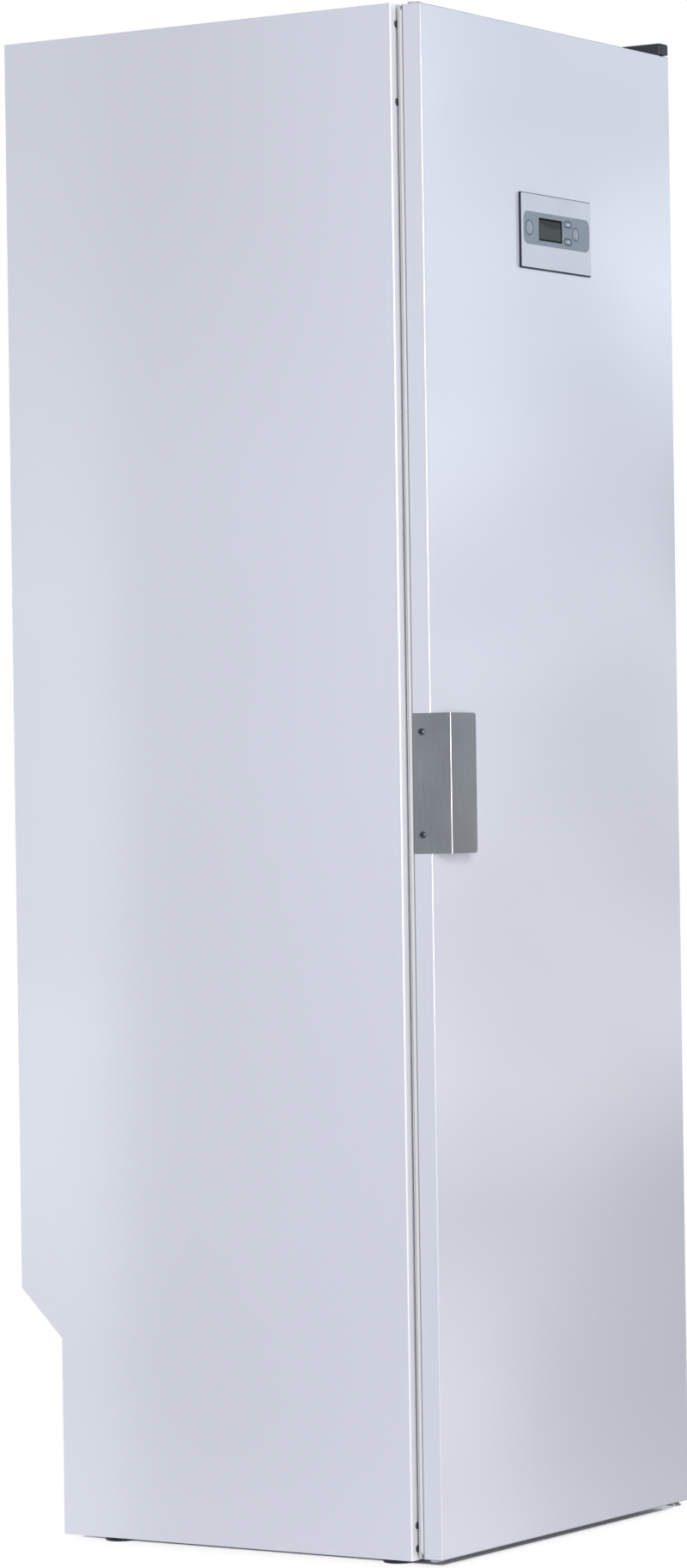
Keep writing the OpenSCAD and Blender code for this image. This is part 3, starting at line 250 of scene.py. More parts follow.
class Finishes(bpy.types.PropertyGroup):
    """Colours of the finishes."""

    paint: colour("Paint", "Gloss paint of the body and door", (0.70, 0.72, 0.81))
    # The flanges get a lighter copy of the body's paint: painted light that brightens the shade in
    # the gap behind the door
    flange: colour("Flange paint", "Lighter paint of the front flanges", (0.90, 0.91, 0.97))
    liner: colour("Liner paint", "Paint of the drying space", (0.74, 0.755, 0.78))
    rack: colour("Rack coating", "Epoxy coating of the racks", (0.80, 0.81, 0.82))
    stainless: colour("Stainless", "Brushed steel of the handle", (0.475, 0.495, 0.535))
    screw: colour("Screw", "Steel of the handle's screws", (0.17, 0.18, 0.21))
    # The handle's front gets a darker copy of its brushed steel: painted shade on one face of the
    # same bent plate
    stainless_front_shaded: colour(
        "Stainless front", "Brushed steel of the handle's front", (0.36, 0.375, 0.385)
    )
    zinc: colour("Zinc", "Galvanised steel", (0.52, 0.54, 0.56))
    sheath: colour("Heater sheath", "Oxidised sheath of the heater", (0.07, 0.06, 0.055))
    black: colour("Black plastic", "Dark moulded plastic", (0.035, 0.04, 0.05))
    grey: colour("Grey plastic", "Light grey moulded plastic", (0.50, 0.52, 0.54))
    rubber: colour("Gasket", "Grey vinyl of the gasket", (0.55, 0.555, 0.57))
    # The grey strip in the seam is painted shade along the seam, not a part of its own
    seal: colour("Seam seal", "Grey seal in the seam of the door", (0.30, 0.31, 0.34))
    wool: colour("Insulation", "Mineral wool", (0.70, 0.62, 0.40))
    plate: colour("Control plate", "Coated face of the control plate", (0.60, 0.635, 0.71))
    plate_edge: colour("Plate edge", "Dark edge of the control plate", (0.014, 0.02, 0.045))
    # Near white for the bevel's painted highlight and for the arrow signs, which are partly painted
    # highlight
    plate_bevel: colour("Plate bevel", "Bright bevel of the clear layer", (0.97, 0.975, 1.0))
    band: colour("Keypad", "Grey band round the keys", (0.235, 0.285, 0.345))
    key: colour("Keys", "Keys on the band", (0.30, 0.35, 0.41))
    # The dark ring round a key is painted shade for the narrow gap round the key
    ring: colour("Key ring", "Printed ring round a key", (0.07, 0.09, 0.13))
    rim: colour("Display rim", "Black rim of the display", (0.003, 0.004, 0.004))
    display: colour("Display", "Pane of the display", (0.034, 0.041, 0.033))
    board: colour("Board", "Green circuit board", (0.02, 0.16, 0.07))


class StageSettings(bpy.types.PropertyGroup):
    """Camera and lights."""

    camera_x: position("Camera X", "Camera's place along the width", -5.537)
    camera_y: position("Camera Y", "Camera's place along the depth", -3.5405)
    camera_z: position("Camera Z", "Camera's height above the floor", 0.92005)
    heading: angle("Heading", "Direction of the view, from the back towards the right", 57.233)
    pitch: angle("Pitch", "Upward tilt of the view", 0.056)
    roll: angle("Roll", "Turn of the camera about its view", -0.816)
    focal: bpy.props.FloatProperty(
        name="Focal length", description="Lens in mm on a 36 mm sensor", default=120.73, min=1.0
    )
    fill: colour("Fill", "Light from all round", (0.138, 0.141, 0.149))
    floor: colour("Floor", "Pale floor", (0.93, 0.935, 0.95))
    floor_glow: amount("Floor glow", "Brightness that the floor adds round the cabinet", 0.5, 5.0)
    left_low: amount("Left light, low", "Brightness of the lower soft box at the left", 28.5)
    left_high: amount("Left light, high", "Brightness of the upper soft box at the left", 25.5)
    front: amount("Front light", "Brightness of the soft box in front", 0.3)
    behind: amount("Rear light", "Brightness of the two soft boxes behind", 3.2)
    roof: amount("Roof light", "Brightness of the soft box over the roof", 0.6)
    side_low: amount("Side card, low", "Glow at the foot of the card that the side mirrors", 2.3)
    side_high: amount("Side card, high", "Glow at the top of the card that the side mirrors", 0.35)
    tint_low: colour(
        "Door card, low tint",
        "Colour at the foot of the card that the door mirrors",
        (1.0, 0.95, 0.97),
    )
    tint_high: colour(
        "Door card, high tint",
        "Colour at the top of the card that the door mirrors",
        (0.74, 0.87, 1.0),
    )
    door_low: amount("Door card, low", "Glow at the foot of the card that the door mirrors", 1.15)
    door_high: amount("Door card, high", "Glow at the top of the card that the door mirrors", 1.5)


class CabinetLook(bpy.types.PropertyGroup):
    """Everything that a user may change about the cabinet's look."""

    sheet: bpy.props.PointerProperty(type=SheetSizes, name="Sheet metal")
    door: bpy.props.PointerProperty(type=DoorSizes, name="Door")
    handle: bpy.props.PointerProperty(type=HandleSizes, name="Handle")
    control: bpy.props.PointerProperty(type=ControlSizes, name="Controls")
    rack: bpy.props.PointerProperty(type=RackSizes, name="Racks")
    part: bpy.props.PointerProperty(type=PartSizes, name="Small parts")
    finish: bpy.props.PointerProperty(type=Finishes, name="Finishes")
    stage: bpy.props.PointerProperty(type=StageSettings, name="Stage")


def look():
    """The cabinet's properties in the current scene."""
    return bpy.context.scene.drying_cabinet


# Materials


class Paintbox:
    """A material's node tree, with short ways to add nodes."""

    def __init__(self, name, rgb, roughness, metallic=0.0):
        self.material = bpy.data.materials.new(name)
        self.material.use_nodes = True
        self.tree = self.material.node_tree
        self.shader = self.tree.nodes["Principled BSDF"]
        self.rgb = (*rgb, 1.0)
        self.set(**{"Base Color": self.rgb, "Roughness": roughness, "Metallic": metallic})
        self.place = self.add("ShaderNodeTexCoord").outputs["Object"]
        self.normal = None

    def add(self, kind, inputs=None, **settings):
        """Adds a node; inputs may be values or sockets."""
        made = self.tree.nodes.new(kind)
        for key, value in settings.items():
            setattr(made, key, value)
        for key, value in (inputs or {}).items():
            if isinstance(value, bpy.types.NodeSocket):
                self.tree.links.new(value, made.inputs[key])
            else:
                made.inputs[key].default_value = value
        return made

    def set(self, **values):
        """Sets constants on the shader's own sockets."""
        for key, value in values.items():
            self.shader.inputs[key].default_value = value

    def stretch(self, scale):
        """Object coordinates, scaled apart along the three axes."""
        return self.add(
            "ShaderNodeMapping", {"Vector": self.place, "Scale": scale}
        ).outputs["Vector"]

    def noise(self, scale, detail=2.0, place=None, rough=0.5):
        """A noise pattern; scale counts its waves in a metre."""
        inputs = {
            "Vector": place or self.place, "Scale": scale, "Detail": detail, "Roughness": rough
        }
        return self.add("ShaderNodeTexNoise", inputs).outputs["Fac"]

    def cells(self, scale, output="Color"):
        """A pattern of cells."""
        return self.add(
            "ShaderNodeTexVoronoi", {"Vector": self.place, "Scale": scale}
        ).outputs[output]

    def spread(self, value, to_low, to_high, from_low=0.35, from_high=0.65):
        """Maps the middle of a pattern onto a range."""
        inputs = {
            "Value": value,
            "From Min": from_low,
            "From Max": from_high,
            "To Min": to_low,
            "To Max": to_high,
        }
        return self.add("ShaderNodeMapRange", inputs).outputs["Result"]

    def math(self, operation, *values):
        """One step of arithmetic."""
        return self.add(
            "ShaderNodeMath", dict(enumerate(values)), operation=operation
        ).outputs["Value"]

    def vector(self, operation, *values, output="Vector"):
        """One step of arithmetic with vectors."""
        made = self.add("ShaderNodeVectorMath", dict(enumerate(values)), operation=operation)
        return made.outputs[output]

    def blend(self, value, shades):
        """A colour that a pattern takes from one shade to another."""
        mix = self.add("ShaderNodeMix", {"Factor": value}, data_type="RGBA")
        mix.inputs["A"].default_value, mix.inputs["B"].default_value = [
            (*shade, 1.0) for shade in shades
        ]
        return mix.outputs["Result"]

    def tint(self, value, dark, light):
        """Base colour that varies between two shades of the finish."""
        shades = [[min(1.0, c * k) for c in self.rgb[:3]] for k in (dark, light)]
        self.link(self.blend(value, shades), "Base Color")

    def link(self, socket, name):
        """Links a pattern to one of the shader's sockets."""
        self.tree.links.new(socket, self.shader.inputs[name])

    def bump(self, height, distance, strength=1.0):
        """Adds a layer of relief, its distance in metres."""
        inputs = {"Height": height, "Distance": distance, "Strength": strength}
        if self.normal is not None:
            inputs["Normal"] = self.normal
        self.normal = self.add("ShaderNodeBump", inputs).outputs["Normal"]
        self.link(self.normal, "Normal")


def gloss_paint(name, rgb, roughness, orange_peel, coat_ior=1.45):
    """Powder paint: faint tone changes, orange peel and long waves in the sheet."""
    box = Paintbox(name, rgb, roughness)
    box.set(**{"Coat Weight": 1.0, "Coat Roughness": 0.1, "Coat IOR": coat_ior})
    box.tint(box.spread(box.noise(1.7, 1.0), 0.0, 1.0, 0.2, 0.8), 0.975, 1.025)
    box.link(
        box.spread(box.noise(4.0, 2.0), roughness - 0.03, roughness + 0.04, 0.2, 0.8), "Roughness"
    )
    box.bump(box.noise(1.6, 0.0), 0.0012)
    box.bump(box.noise(420.0, 2.0), orange_peel)
    return box.material


def brushed_steel(name, rgb):
    """Steel with fine upright brush lines."""
    box = Paintbox(name, rgb, 0.36, 1.0)
    lines = box.noise(1.0, 5.0, box.stretch((2600.0, 2600.0, 22.0)), 0.65)
    smears = box.noise(14.0, 3.0)
    box.tint(box.spread(lines, 0.0, 1.0, 0.3, 0.7), 0.86, 1.12)
    box.link(box.spread(smears, 0.31, 0.43), "Roughness")
    box.bump(lines, 0.00002, 0.7)
    return box.material


def speckled(name, rgb, roughness, tone, shades, polish, relief, metallic=0.0, sockets=None):
    """A finish whose tone, polish and relief follow noise patterns.

    Each pattern is given as scale and detail. The polish adds how far the roughness goes down
    and up, and the relief adds its distance in metres and its strength.
    """
    box = Paintbox(name, rgb, roughness, metallic)
    box.set(**(sockets or {}))
    box.tint(box.spread(box.noise(*tone), 0.0, 1.0), *shades)
    scale, detail, down, up = polish
    box.link(box.spread(box.noise(scale, detail), roughness - down, roughness + up), "Roughness")
    box.bump(box.noise(*relief[:2]), *relief[2:])
    return box.material


def bright_steel(name, rgb, roughness=0.28):
    """Plated screws and pins: even, with faint turning marks."""
    polish, relief = (90.0, 2.0, 0.06, 0.08), (900.0, 2.0, 0.00002, 0.5)
    return speckled(name, rgb, roughness, (160.0, 3.0), (0.9, 1.08), polish, relief, 1.0)


def galvanised(name, rgb):
    """Zinc coated sheet with its crystal flowers."""
    box = Paintbox(name, rgb, 0.42, 1.0)
    flowers = box.add("ShaderNodeSeparateColor", {"Color": box.cells(120.0)}).outputs["Red"]
    box.tint(flowers, 0.78, 1.12)
    box.link(box.spread(flowers, 0.32, 0.52, 0.0, 1.0), "Roughness")
    box.bump(box.noise(260.0, 3.0), 0.00006, 0.5)
    return box.material


def moulded_plastic(name, rgb, roughness=0.55):
    """Moulded plastic with a fine spark eroded grain."""
    polish, relief = (30.0, 3.0, 0.05, 0.06), (1500.0, 3.0, 0.00008, 0.6)
    return speckled(name, rgb, roughness, (9.0, 4.0), (0.93, 1.07), polish, relief)


def vinyl(name, rgb):
    """Soft gasket vinyl, slightly dusty."""
    polish, relief = (60.0, 3.0, 0.08, 0.1), (700.0, 3.0, 0.00006, 0.6)
    dust = {"Sheen Weight": 0.15, "Sheen Roughness": 0.4}
    return speckled(name, rgb, 0.5, (18.0, 4.0), (0.96, 1.04), polish, relief, sockets=dust)


def mineral_wool(name, rgb):
    """Pressed mineral wool with loose fibres."""
    box = Paintbox(name, rgb, 0.95)
    fibres = box.noise(1.0, 6.0, box.stretch((900.0, 900.0, 140.0)), 0.7)
    box.tint(box.spread(fibres, 0.0, 1.0), 0.7, 1.15)
    box.bump(fibres, 0.0008)
    return box.material


def oxidised_sheath(name, rgb):
    """Heater tube, blued and browned by heat."""
    polish, relief = (120.0, 3.0, 0.1, 0.15), (500.0, 3.0, 0.00005)
    return speckled(name, rgb, 0.5, (70.0, 5.0), (0.6, 1.6), polish, relief, 0.85)


def coated_plate(name, rgb, roughness=0.13, coat=0.5, specular=0.5, glow=0.0):
    """Clear coated panel face: smooth, with a faint pearl in the tone."""
    sockets = {"Coat Weight": coat, "Coat Roughness": 0.05, "Specular IOR Level": specular}
    # A glow makes the face shine by itself: a painted highlight
    if glow:
        sockets.update({"Emission Color": (*rgb, 1.0), "Emission Strength": glow})
    polish, relief = (45.0, 3.0, 0.02, 0.05), (8.0, 1.0, 0.0001)
    return speckled(
        name, rgb, roughness, (14.0, 2.0), (0.975, 1.02), polish, relief, sockets=sockets
    )


def printed_foil(name, rgb, roughness=0.3):
    """Printed keypad foil with a fine pearl grain."""
    polish, relief = (60.0, 3.0, 0.04, 0.06), (1200.0, 2.0, 0.00003, 0.5)
    return speckled(name, rgb, roughness, (1800.0, 2.0), (0.94, 1.05), polish, relief)


def dark_glass(name, rgb):
    """Display pane: dark glass, with a darker curved zone along its top that is painted shade."""
    box = Paintbox(name, rgb, 0.12)
    box.set(**{"Specular IOR Level": 0.14})
    a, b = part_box("display_window")
    wide, tall = b.x - a.x, b.z - a.z
    centre = (b.x - 0.36 * wide, 0.0, b.z + 0.12 * tall)
    scale = (1.0 / (0.78 * wide), 0.0, 1.0 / (0.55 * tall))
    away = box.vector("MULTIPLY", box.vector("SUBTRACT", box.place, centre), scale)
    reach = box.vector("LENGTH", away, output="Value")
    # The curved zone darkens the pane's base colour: painted shade
    box.tint(box.spread(reach, 0.0, 1.0, 0.88, 1.04), 0.25, 1.2)
    box.link(box.spread(box.noise(40.0, 2.0), 0.09, 0.17), "Roughness")
    return box.material


def green_board(name, rgb):
    """Circuit board with its solder mask over copper tracks."""
    box = Paintbox(name, rgb, 0.35)
    tracks = box.cells(240.0, "Distance")
    box.tint(box.spread(tracks, 0.0, 1.0, 0.1, 0.5), 0.7, 1.5)
    box.link(box.spread(box.noise(90.0, 2.0), 0.28, 0.42), "Roughness")
    box.bump(tracks, 0.0001)
    return box.material


def wire_cloth(name, rgb):
    """Woven lint screen."""
    box = Paintbox(name, rgb, 0.45, 0.8)
    wave = {"Vector": box.place, "Scale": 420.0}
    warp = box.add("ShaderNodeTexWave", dict(wave), bands_direction="X").outputs["Fac"]
    weft = box.add("ShaderNodeTexWave", dict(wave), bands_direction="Y").outputs["Fac"]
    weave = box.math("MULTIPLY", warp, weft)
    box.tint(weave, 0.25, 1.2)
    box.bump(weave, 0.0004)
    return box.material


# Each finish: its maker, its colour among the Finishes, and what else the maker takes
FINISH_MAKERS = {
    "gloss_paint": (gloss_paint, "paint", 0.3, 0.000012, 1.7),
    # The flanges' lighter paint is painted light for the shaded gap behind the door
    "flange_painted_light": (gloss_paint, "flange", 0.3, 0.000012, 1.7),
    "liner_paint": (gloss_paint, "liner", 0.32, 0.00002),
    "rack_coating": (gloss_paint, "rack", 0.3, 0.00003),
    "brushed_steel": (brushed_steel, "stainless"),
    # The handle front's darker steel is painted shade
    "front_steel_painted_shade": (brushed_steel, "stainless_front_shaded"),
    "bright_steel": (bright_steel, "zinc"),
    "screw_steel": (bright_steel, "screw", 0.36),
    "galvanised_sheet": (galvanised, "zinc"),
    "heater_sheath": (oxidised_sheath, "sheath"),
    "black_plastic": (moulded_plastic, "black", 0.5),
    "grey_plastic": (moulded_plastic, "grey"),
    "gasket_vinyl": (vinyl, "rubber"),
    # The seam's grey strip is painted shade
    "seam_painted_shade": (vinyl, "seal"),
    "mineral_wool": (mineral_wool, "wool"),
    "control_plate_face": (coated_plate, "plate"),
    "control_plate_edge": (coated_plate, "plate_edge", 0.3, 0.0, 0.2),
    # The plate's bevel is near white and glows: a painted highlight
    "control_plate_painted_highlight": (coated_plate, "plate_bevel", 0.1, 1.0, 0.5, 0.25),
    "keypad_foil": (printed_foil, "band"),
    "key_face": (printed_foil, "key", 0.22),
    # The rings round the keys are painted shade for the gap round each key
    "key_ring": (printed_foil, "ring", 0.35),
    # The arrow signs are partly print, partly painted highlight
    "key_sign_and_highlight": (printed_foil, "plate_bevel", 0.3),
    "display_glass": (dark_glass, "display"),
    "display_rim": (coated_plate, "rim", 0.3, 0.0, 0.03),
    "circuit_board": (green_board, "board"),
    "lint_screen": (wire_cloth, "zinc"),
}
finishes = {}


def finish(name):
    """The named finish, made when it is first asked for."""
    if name not in finishes:
        maker, shade, *rest = FINISH_MAKERS[name]
        finishes[name] = maker(name, getattr(look().finish, shade), *rest)
    return finishes[name]


# Mesh tools


def box_between(bm, a, b):
    """A box between two corners; returns its vertices."""
    a, b = Vector(a), Vector(b)
    matrix = Matrix.LocRotScale((a + b) / 2, None, b - a)
    return bmesh.ops.create_cube(bm, size=1.0, matrix=matrix)["verts"]


def faces_of(verts):
    """All faces that use these vertices."""
    return list({f for v in verts for f in v.link_faces})


def edges_of(verts):
    """All edges between these vertices."""
    chosen = set(verts)
    return list({e for v in verts for e in v.link_edges if e.other_vert(v) in chosen})


def face_towards(faces, direction):
    """The face that looks most in one direction."""
    return max(faces, key=lambda f: f.normal.dot(Vector(direction)))


def round_edges(bm, edges, radius, segments=3, affect="EDGES"):
    """Rounds edges."""
    bmesh.ops.bevel(
        bm,
        geom=list(edges),
        offset=radius,
        offset_type="OFFSET",
        segments=segments,
        profile=0.5,
        affect=affect,
        material=-1,
        clamp_overlap=True,
    )


def round_corners(bm, verts, radius, segments=6):
    """Rounds the corners of a flat face."""
    round_edges(bm, verts, radius, segments, "VERTICES")


def chain(bm, points):
    """Vertices at some points, and the edges that join them in a row."""
    verts = [bm.verts.new(point) for point in points]
    return verts, [bm.edges.new(pair) for pair in zip(verts, verts[1:])]


def pull(bm, made, vector):
    """Moves the vertices that an extrusion made, and returns them."""
    moved = [g for g in made["geom"] if isinstance(g, bmesh.types.BMVert)]
    bmesh.ops.translate(bm, vec=vector, verts=moved)
    return moved


def face_out(bm, direction):
    """Turns an open sheet so that its outside looks in one direction."""
    bmesh.ops.recalc_face_normals(bm, faces=bm.faces)
    if face_towards(bm.faces, direction).normal.dot(Vector(direction)) < 0.9:
        bmesh.ops.reverse_faces(bm, faces=bm.faces)


def keep_edges(bm, face):
    """Deletes a face but not its edges, and returns them."""
    edges = list(face.edges)
    bmesh.ops.delete(bm, geom=[face], context="FACES_ONLY")
    return edges


def raise_face(bm, face, vector):
    """Extrudes a face and returns the moved face; one that closed a shell isn't left inside it."""
    joined = any(len(e.link_faces) > 1 for e in face.edges)
    made = bmesh.ops.extrude_face_region(bm, geom=[face])["geom"]
    top = next(g for g in made if isinstance(g, bmesh.types.BMFace))
    bmesh.ops.translate(bm, vec=vector, verts=top.verts)
    if joined and face.is_valid:
        bmesh.ops.delete(bm, geom=[face], context="FACES_ONLY")
    return top


def turned(bm, outline, place, steps=48):
    """Turns an outline of radius and height pairs about the local Z axis of a matrix."""
    verts, edges = chain(bm, [place @ Vector((r, 0.0, h)) for r, h in outline])
    axis = place.to_3x3() @ Vector((0.0, 0.0, 1.0))
    bmesh.ops.spin(
        bm,
        geom=verts + edges,
        cent=place.translation,
        axis=axis,
        angle=TURN,
        steps=steps,
        use_merge=True,
        use_duplicate=False,
    )


# Domes from their foot to their top, as shares of the radius and the height
BUTTON_DOME = (
    (0.0, 0.0), (1.0, 0.0), (1.0, 0.55), (0.96, 0.8), (0.86, 0.95), (0.74, 1.0), (0.46, 1.0)
)
PLUG_DOME = (
    (0.0, 0.0), (1.0, 0.0), (0.97, 0.35), (0.85, 0.68), (0.6, 0.9), (0.3, 0.99), (0.0, 1.0)
)


def scaled(dome, radius, height):
    """A dome's outline at its real size."""
    return [(radius * across, height * up) for across, up in dome]


def aimed(point, direction):
    """A matrix at a point whose Z axis looks in a direction."""
    turn = Vector(direction).to_track_quat("Z", "Y")
    return Matrix.Translation(Vector(point)) @ turn.to_matrix().to_4x4()


def rod(bm, start, moves, radius, sides=16, bend_steps=8):
    """A round bar: it starts at a point and follows straight runs and bends."""
    circle = bmesh.ops.create_circle(
        bm, cap_ends=True, segments=sides, radius=radius, matrix=aimed(start, moves[0][1])
    )["verts"]
    first = circle[0].link_faces[0]
    tip = first
    for move in moves:
        if move[0] == "run":
            tip = raise_face(bm, tip, move[1])
            continue
        _, centre, axis, turn = move
        made = bmesh.ops.spin(
            bm,
            geom=[tip],
            cent=centre,
            axis=axis,
            angle=turn,
            steps=bend_steps,
            use_duplicate=False,
        )["geom_last"]
        if tip is not first:
            bmesh.ops.delete(bm, geom=[tip], context="FACES_ONLY")
        tip = next(g for g in made if isinstance(g, bmesh.types.BMFace))
    ends = [e for f in (first, tip) for e in f.edges]
    round_edges(bm, ends, radius * 0.45, 3)


def straight_rod(bm, a, b, radius, sides=16):
    """A straight round bar between two points."""
    rod(bm, a, [("run", Vector(b) - Vector(a))], radius, sides)


def mesh_from(bm, name):
    """Turns a finished shape into a mesh."""
    mesh = bpy.data.meshes.new(name)
    bm.to_mesh(mesh)
    bm.free()
    return mesh


def new_object(name, data):
    """A new object in the scene."""
    made = bpy.data.objects.new(name, data)
    bpy.context.scene.collection.objects.link(made)
    return made


def make_piece(
    bm, name, body, materials, replaces=(), sharp=32.0, wall=0.0, edge=0.0, clean=True
):
    """Paints a shape that rides on its body; a solid one is first closed, a sheet gets its wall."""
    if clean and not wall:
        bmesh.ops.remove_doubles(bm, verts=bm.verts, dist=WELD)
        bmesh.ops.recalc_face_normals(bm, faces=bm.faces)
    mesh = mesh_from(bm, name)
    for material in materials:
        mesh.materials.append(finish(material))
    mesh.shade_smooth()
    mesh.set_sharp_from_angle(angle=math.radians(sharp))
    piece = new_object(name, mesh)
    if wall:
        solid = piece.modifiers.new("Sheet", "SOLIDIFY")
        solid.thickness = wall
        solid.offset = -1.0
        solid.use_even_offset = True
        solid.use_quality_normals = True
    if edge:
        ease = piece.modifiers.new("Edge", "BEVEL")
        ease.width = edge
        ease.segments = 2
        ease.limit_method = "ANGLE"
        ease.angle_limit = math.radians(40.0)
        ease.use_clamp_overlap = True
    even = piece.modifiers.new("Normals", "WEIGHTED_NORMAL")
    even.keep_sharp = True
    even.weight = 80
    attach(piece, body)
    if replaces:
        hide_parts(*replaces)


def dressed(node, material, edge=0.0):
    """A merged copy of a node's mesh, its edges eased in millimetres, which stands for it."""
    bm = bmesh.new()
    bm.from_mesh(frame["nodes"][node].data)
    bmesh.ops.remove_doubles(bm, verts=bm.verts, dist=WELD)
    bmesh.ops.dissolve_limit(bm, angle_limit=math.radians(0.5), verts=bm.verts, edges=bm.edges)
    body = frame["nodes"][node]["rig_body"]
    make_piece(bm, node + "_finished", body, [material], [node], edge=edge * MM, clean=False)


def paint_node(node, material):
    """Gives a node that stays its finish."""
    shown = frame["nodes"][node]
    shown.data.materials.clear()
    shown.data.materials.append(finish(material))


# Pieces of the body


def side_panel(mirrored):
    """One bent side panel with its flanges and the notch at the lower back."""
    sizes = look().sheet
    notch_y = low("rear_panel").y + 2 * sizes.thickness
    notch_z = BOTTOM + sizes.notch_height
    slope_z = notch_z + BACK_Y - notch_y
    outline = [
        (FLANGE_Y, BOTTOM),
        (FLANGE_Y, TOP),
        (BACK_Y, TOP),
        (BACK_Y, slope_z),
        (notch_y, notch_z),
        (notch_y, BOTTOM),
    ]
    x = RIGHT if mirrored else LEFT
    inward = -1.0 if mirrored else 1.0
    bm = bmesh.new()
    wall = bm.faces.new([bm.verts.new((x, y, z)) for y, z in outline])
    border = [bm.edges.get((wall.verts[i], wall.verts[(i + 1) % 6])) for i in range(6)]
    for edges, width in (([border[0]], FLANGE_W), (border[2:5], sizes.rear_flange)):
        pull(bm, bmesh.ops.extrude_edge_only(bm, edges=edges), (inward * width, 0.0, 0.0))
    round_edges(bm, [border[0], *border[2:5]], sizes.bend, 5)
    bmesh.ops.remove_doubles(bm, verts=bm.verts, dist=WELD)
    face_out(bm, (-inward, 0, 0))
    # Faces of the front flange take the lighter copy of the paint, painted light for the shaded gap
    # behind the door
    for f in bm.faces:
        f.material_index = 1 if all(v.co.y < FLANGE_Y + sizes.bend * 0.9 for v in f.verts) else 0
    side = "right" if mirrored else "left"
    paints = ["gloss_paint", "flange_painted_light"]
    nodes = [f"side_panel_{side}"]
    make_piece(
        bm, f"{side}_side_sheet", "cabinet", paints, nodes, wall=sizes.thickness
    )


def bead_levels():
    """Heights of the beads in the rear panel."""
    sizes = look().sheet
    notch_y = low("rear_panel").y + 2 * sizes.thickness
    z = BOTTOM + sizes.notch_height + BACK_Y - notch_y + sizes.bead_first
    levels = []
    while z <= TOP - sizes.bead_first:
        levels.append(z)
        z += sizes.bead_pitch
    return levels


def cut_at(bm, axis, value):
    """Cuts the whole mesh across one axis."""
    plane = [1.0 if i == axis else 0.0 for i in range(3)]
    point = [value if i == axis else 0.0 for i in range(3)]
    geom = list(bm.verts) + list(bm.edges) + list(bm.faces)
    bmesh.ops.bisect_plane(bm, geom=geom, dist=1e-7, plane_co=point, plane_no=plane)


def rear_panel():
    """The back: a sheet stepped in at the notch, with pressed beads and the inlet's opening."""
    sizes = look().sheet
    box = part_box("rear_panel")
    notch_y = box[0].y + sizes.thickness
    notch_z = BOTTOM + sizes.notch_height
    upper_y = BACK_Y - sizes.thickness
    step = BACK_Y - (box[0].y + 2 * sizes.thickness)
    profile = [
        (notch_y, BOTTOM),
        (notch_y, notch_z),
        (upper_y, notch_z + step),
        (upper_y, box[1].z),
    ]
    bm = bmesh.new()
    edges = chain(bm, [(box[0].x, y, z) for y, z in profile])[1]
    pull(bm, bmesh.ops.extrude_edge_only(bm, edges=edges), (box[1].x - box[0].x, 0.0, 0.0))
    inner = [e for e in bm.edges if len(e.link_faces) == 2]
    bends = [e for e in inner if abs(e.verts[0].co.x - e.verts[1].co.x) > 0.1]
    round_edges(bm, bends, 2 * sizes.bend, 4)
    face_out(bm, (0, 1, 0))
    half = sizes.bead_width / 2
    for z in bead_levels():
        cut_at(bm, 2, z - half)
        cut_at(bm, 2, z + half)
    cut_at(bm, 0, LEFT + sizes.bead_side)
    cut_at(bm, 0, RIGHT - sizes.bead_side)
    middles = {f: f.calc_center_median() for f in bm.faces}
    middles = {f: m for f, m in middles.items() if abs(m.x) < RIGHT - sizes.bead_side}
    beads = [f for f, m in middles.items() if any(abs(m.z - z) < half / 2 for z in bead_levels())]
    bmesh.ops.inset_individual(bm, faces=beads, thickness=half * 0.75, depth=-sizes.bead_depth)
    rims = {e for f in beads for v in f.verts for e in v.link_edges}
    round_edges(bm, rims, half * 0.3, 2)
    rim = 12 * MM
    a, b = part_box("inlet_grille")
    x0, x1, z0, z1 = a.x + rim, b.x - rim, a.z + rim, b.z - rim
    for axis, value in ((0, x0), (0, x1), (2, z0), (2, z1)):
        cut_at(bm, axis, value)
    middles = {f: f.calc_center_median() for f in bm.faces}
    hole = [f for f, m in middles.items() if x0 < m.x < x1 and z0 < m.z < z1]
    bmesh.ops.delete(bm, geom=hole, context="FACES")
    nodes = ["rear_panel"]
    make_piece(
        bm, "rear_sheet", "cabinet", ["gloss_paint"], nodes, wall=sizes.thickness
    )


class CABINET_OT_body(bpy.types.Operator):
    """Bends the side panels and the back, and finishes the roof, base, fascia and sill"""

    bl_idname = "drying_cabinet.body"
    bl_label = "Body"

    def execute(self, context):
        side_panel(False)
        side_panel(True)
        rear_panel()
        for node in ("roof_panel", "base_pan", "fascia_panel", "sill_rail"):
            dressed(node, "gloss_paint", 0.3)
        return {"FINISHED"}


class CABINET_OT_liner(bpy.types.Operator):
    """Finishes the drying space: its walls, floor tray, ceiling and lint filter"""

    bl_idname = "drying_cabinet.liner"
    bl_label = "Drying space"

    def execute(self, context):
        for node in ("inner_liner", "floor_tray", "ceiling_panel"):
            dressed(node, "liner_paint", 0.3)
        dressed("lint_filter", "grey_plastic", 0.5)
        self.lint_screen()
        return {"FINISHED"}

    def lint_screen(self):
        """The woven screen above the filter's bars."""
        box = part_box("lint_filter")
        rim = 9 * MM
        tab = 14 * MM
        under, over = 3.5 * MM, 3 * MM  # both counted down from the filter's top
        a = Vector((box[0].x + rim, box[0].y + tab + rim, box[1].z - under))
        b = Vector((box[1].x - rim, box[1].y - rim, box[1].z - over))
        bm = bmesh.new()
        box_between(bm, a, b)
        make_piece(bm, "lint_screen", "cabinet", ["lint_screen"])


# Racks


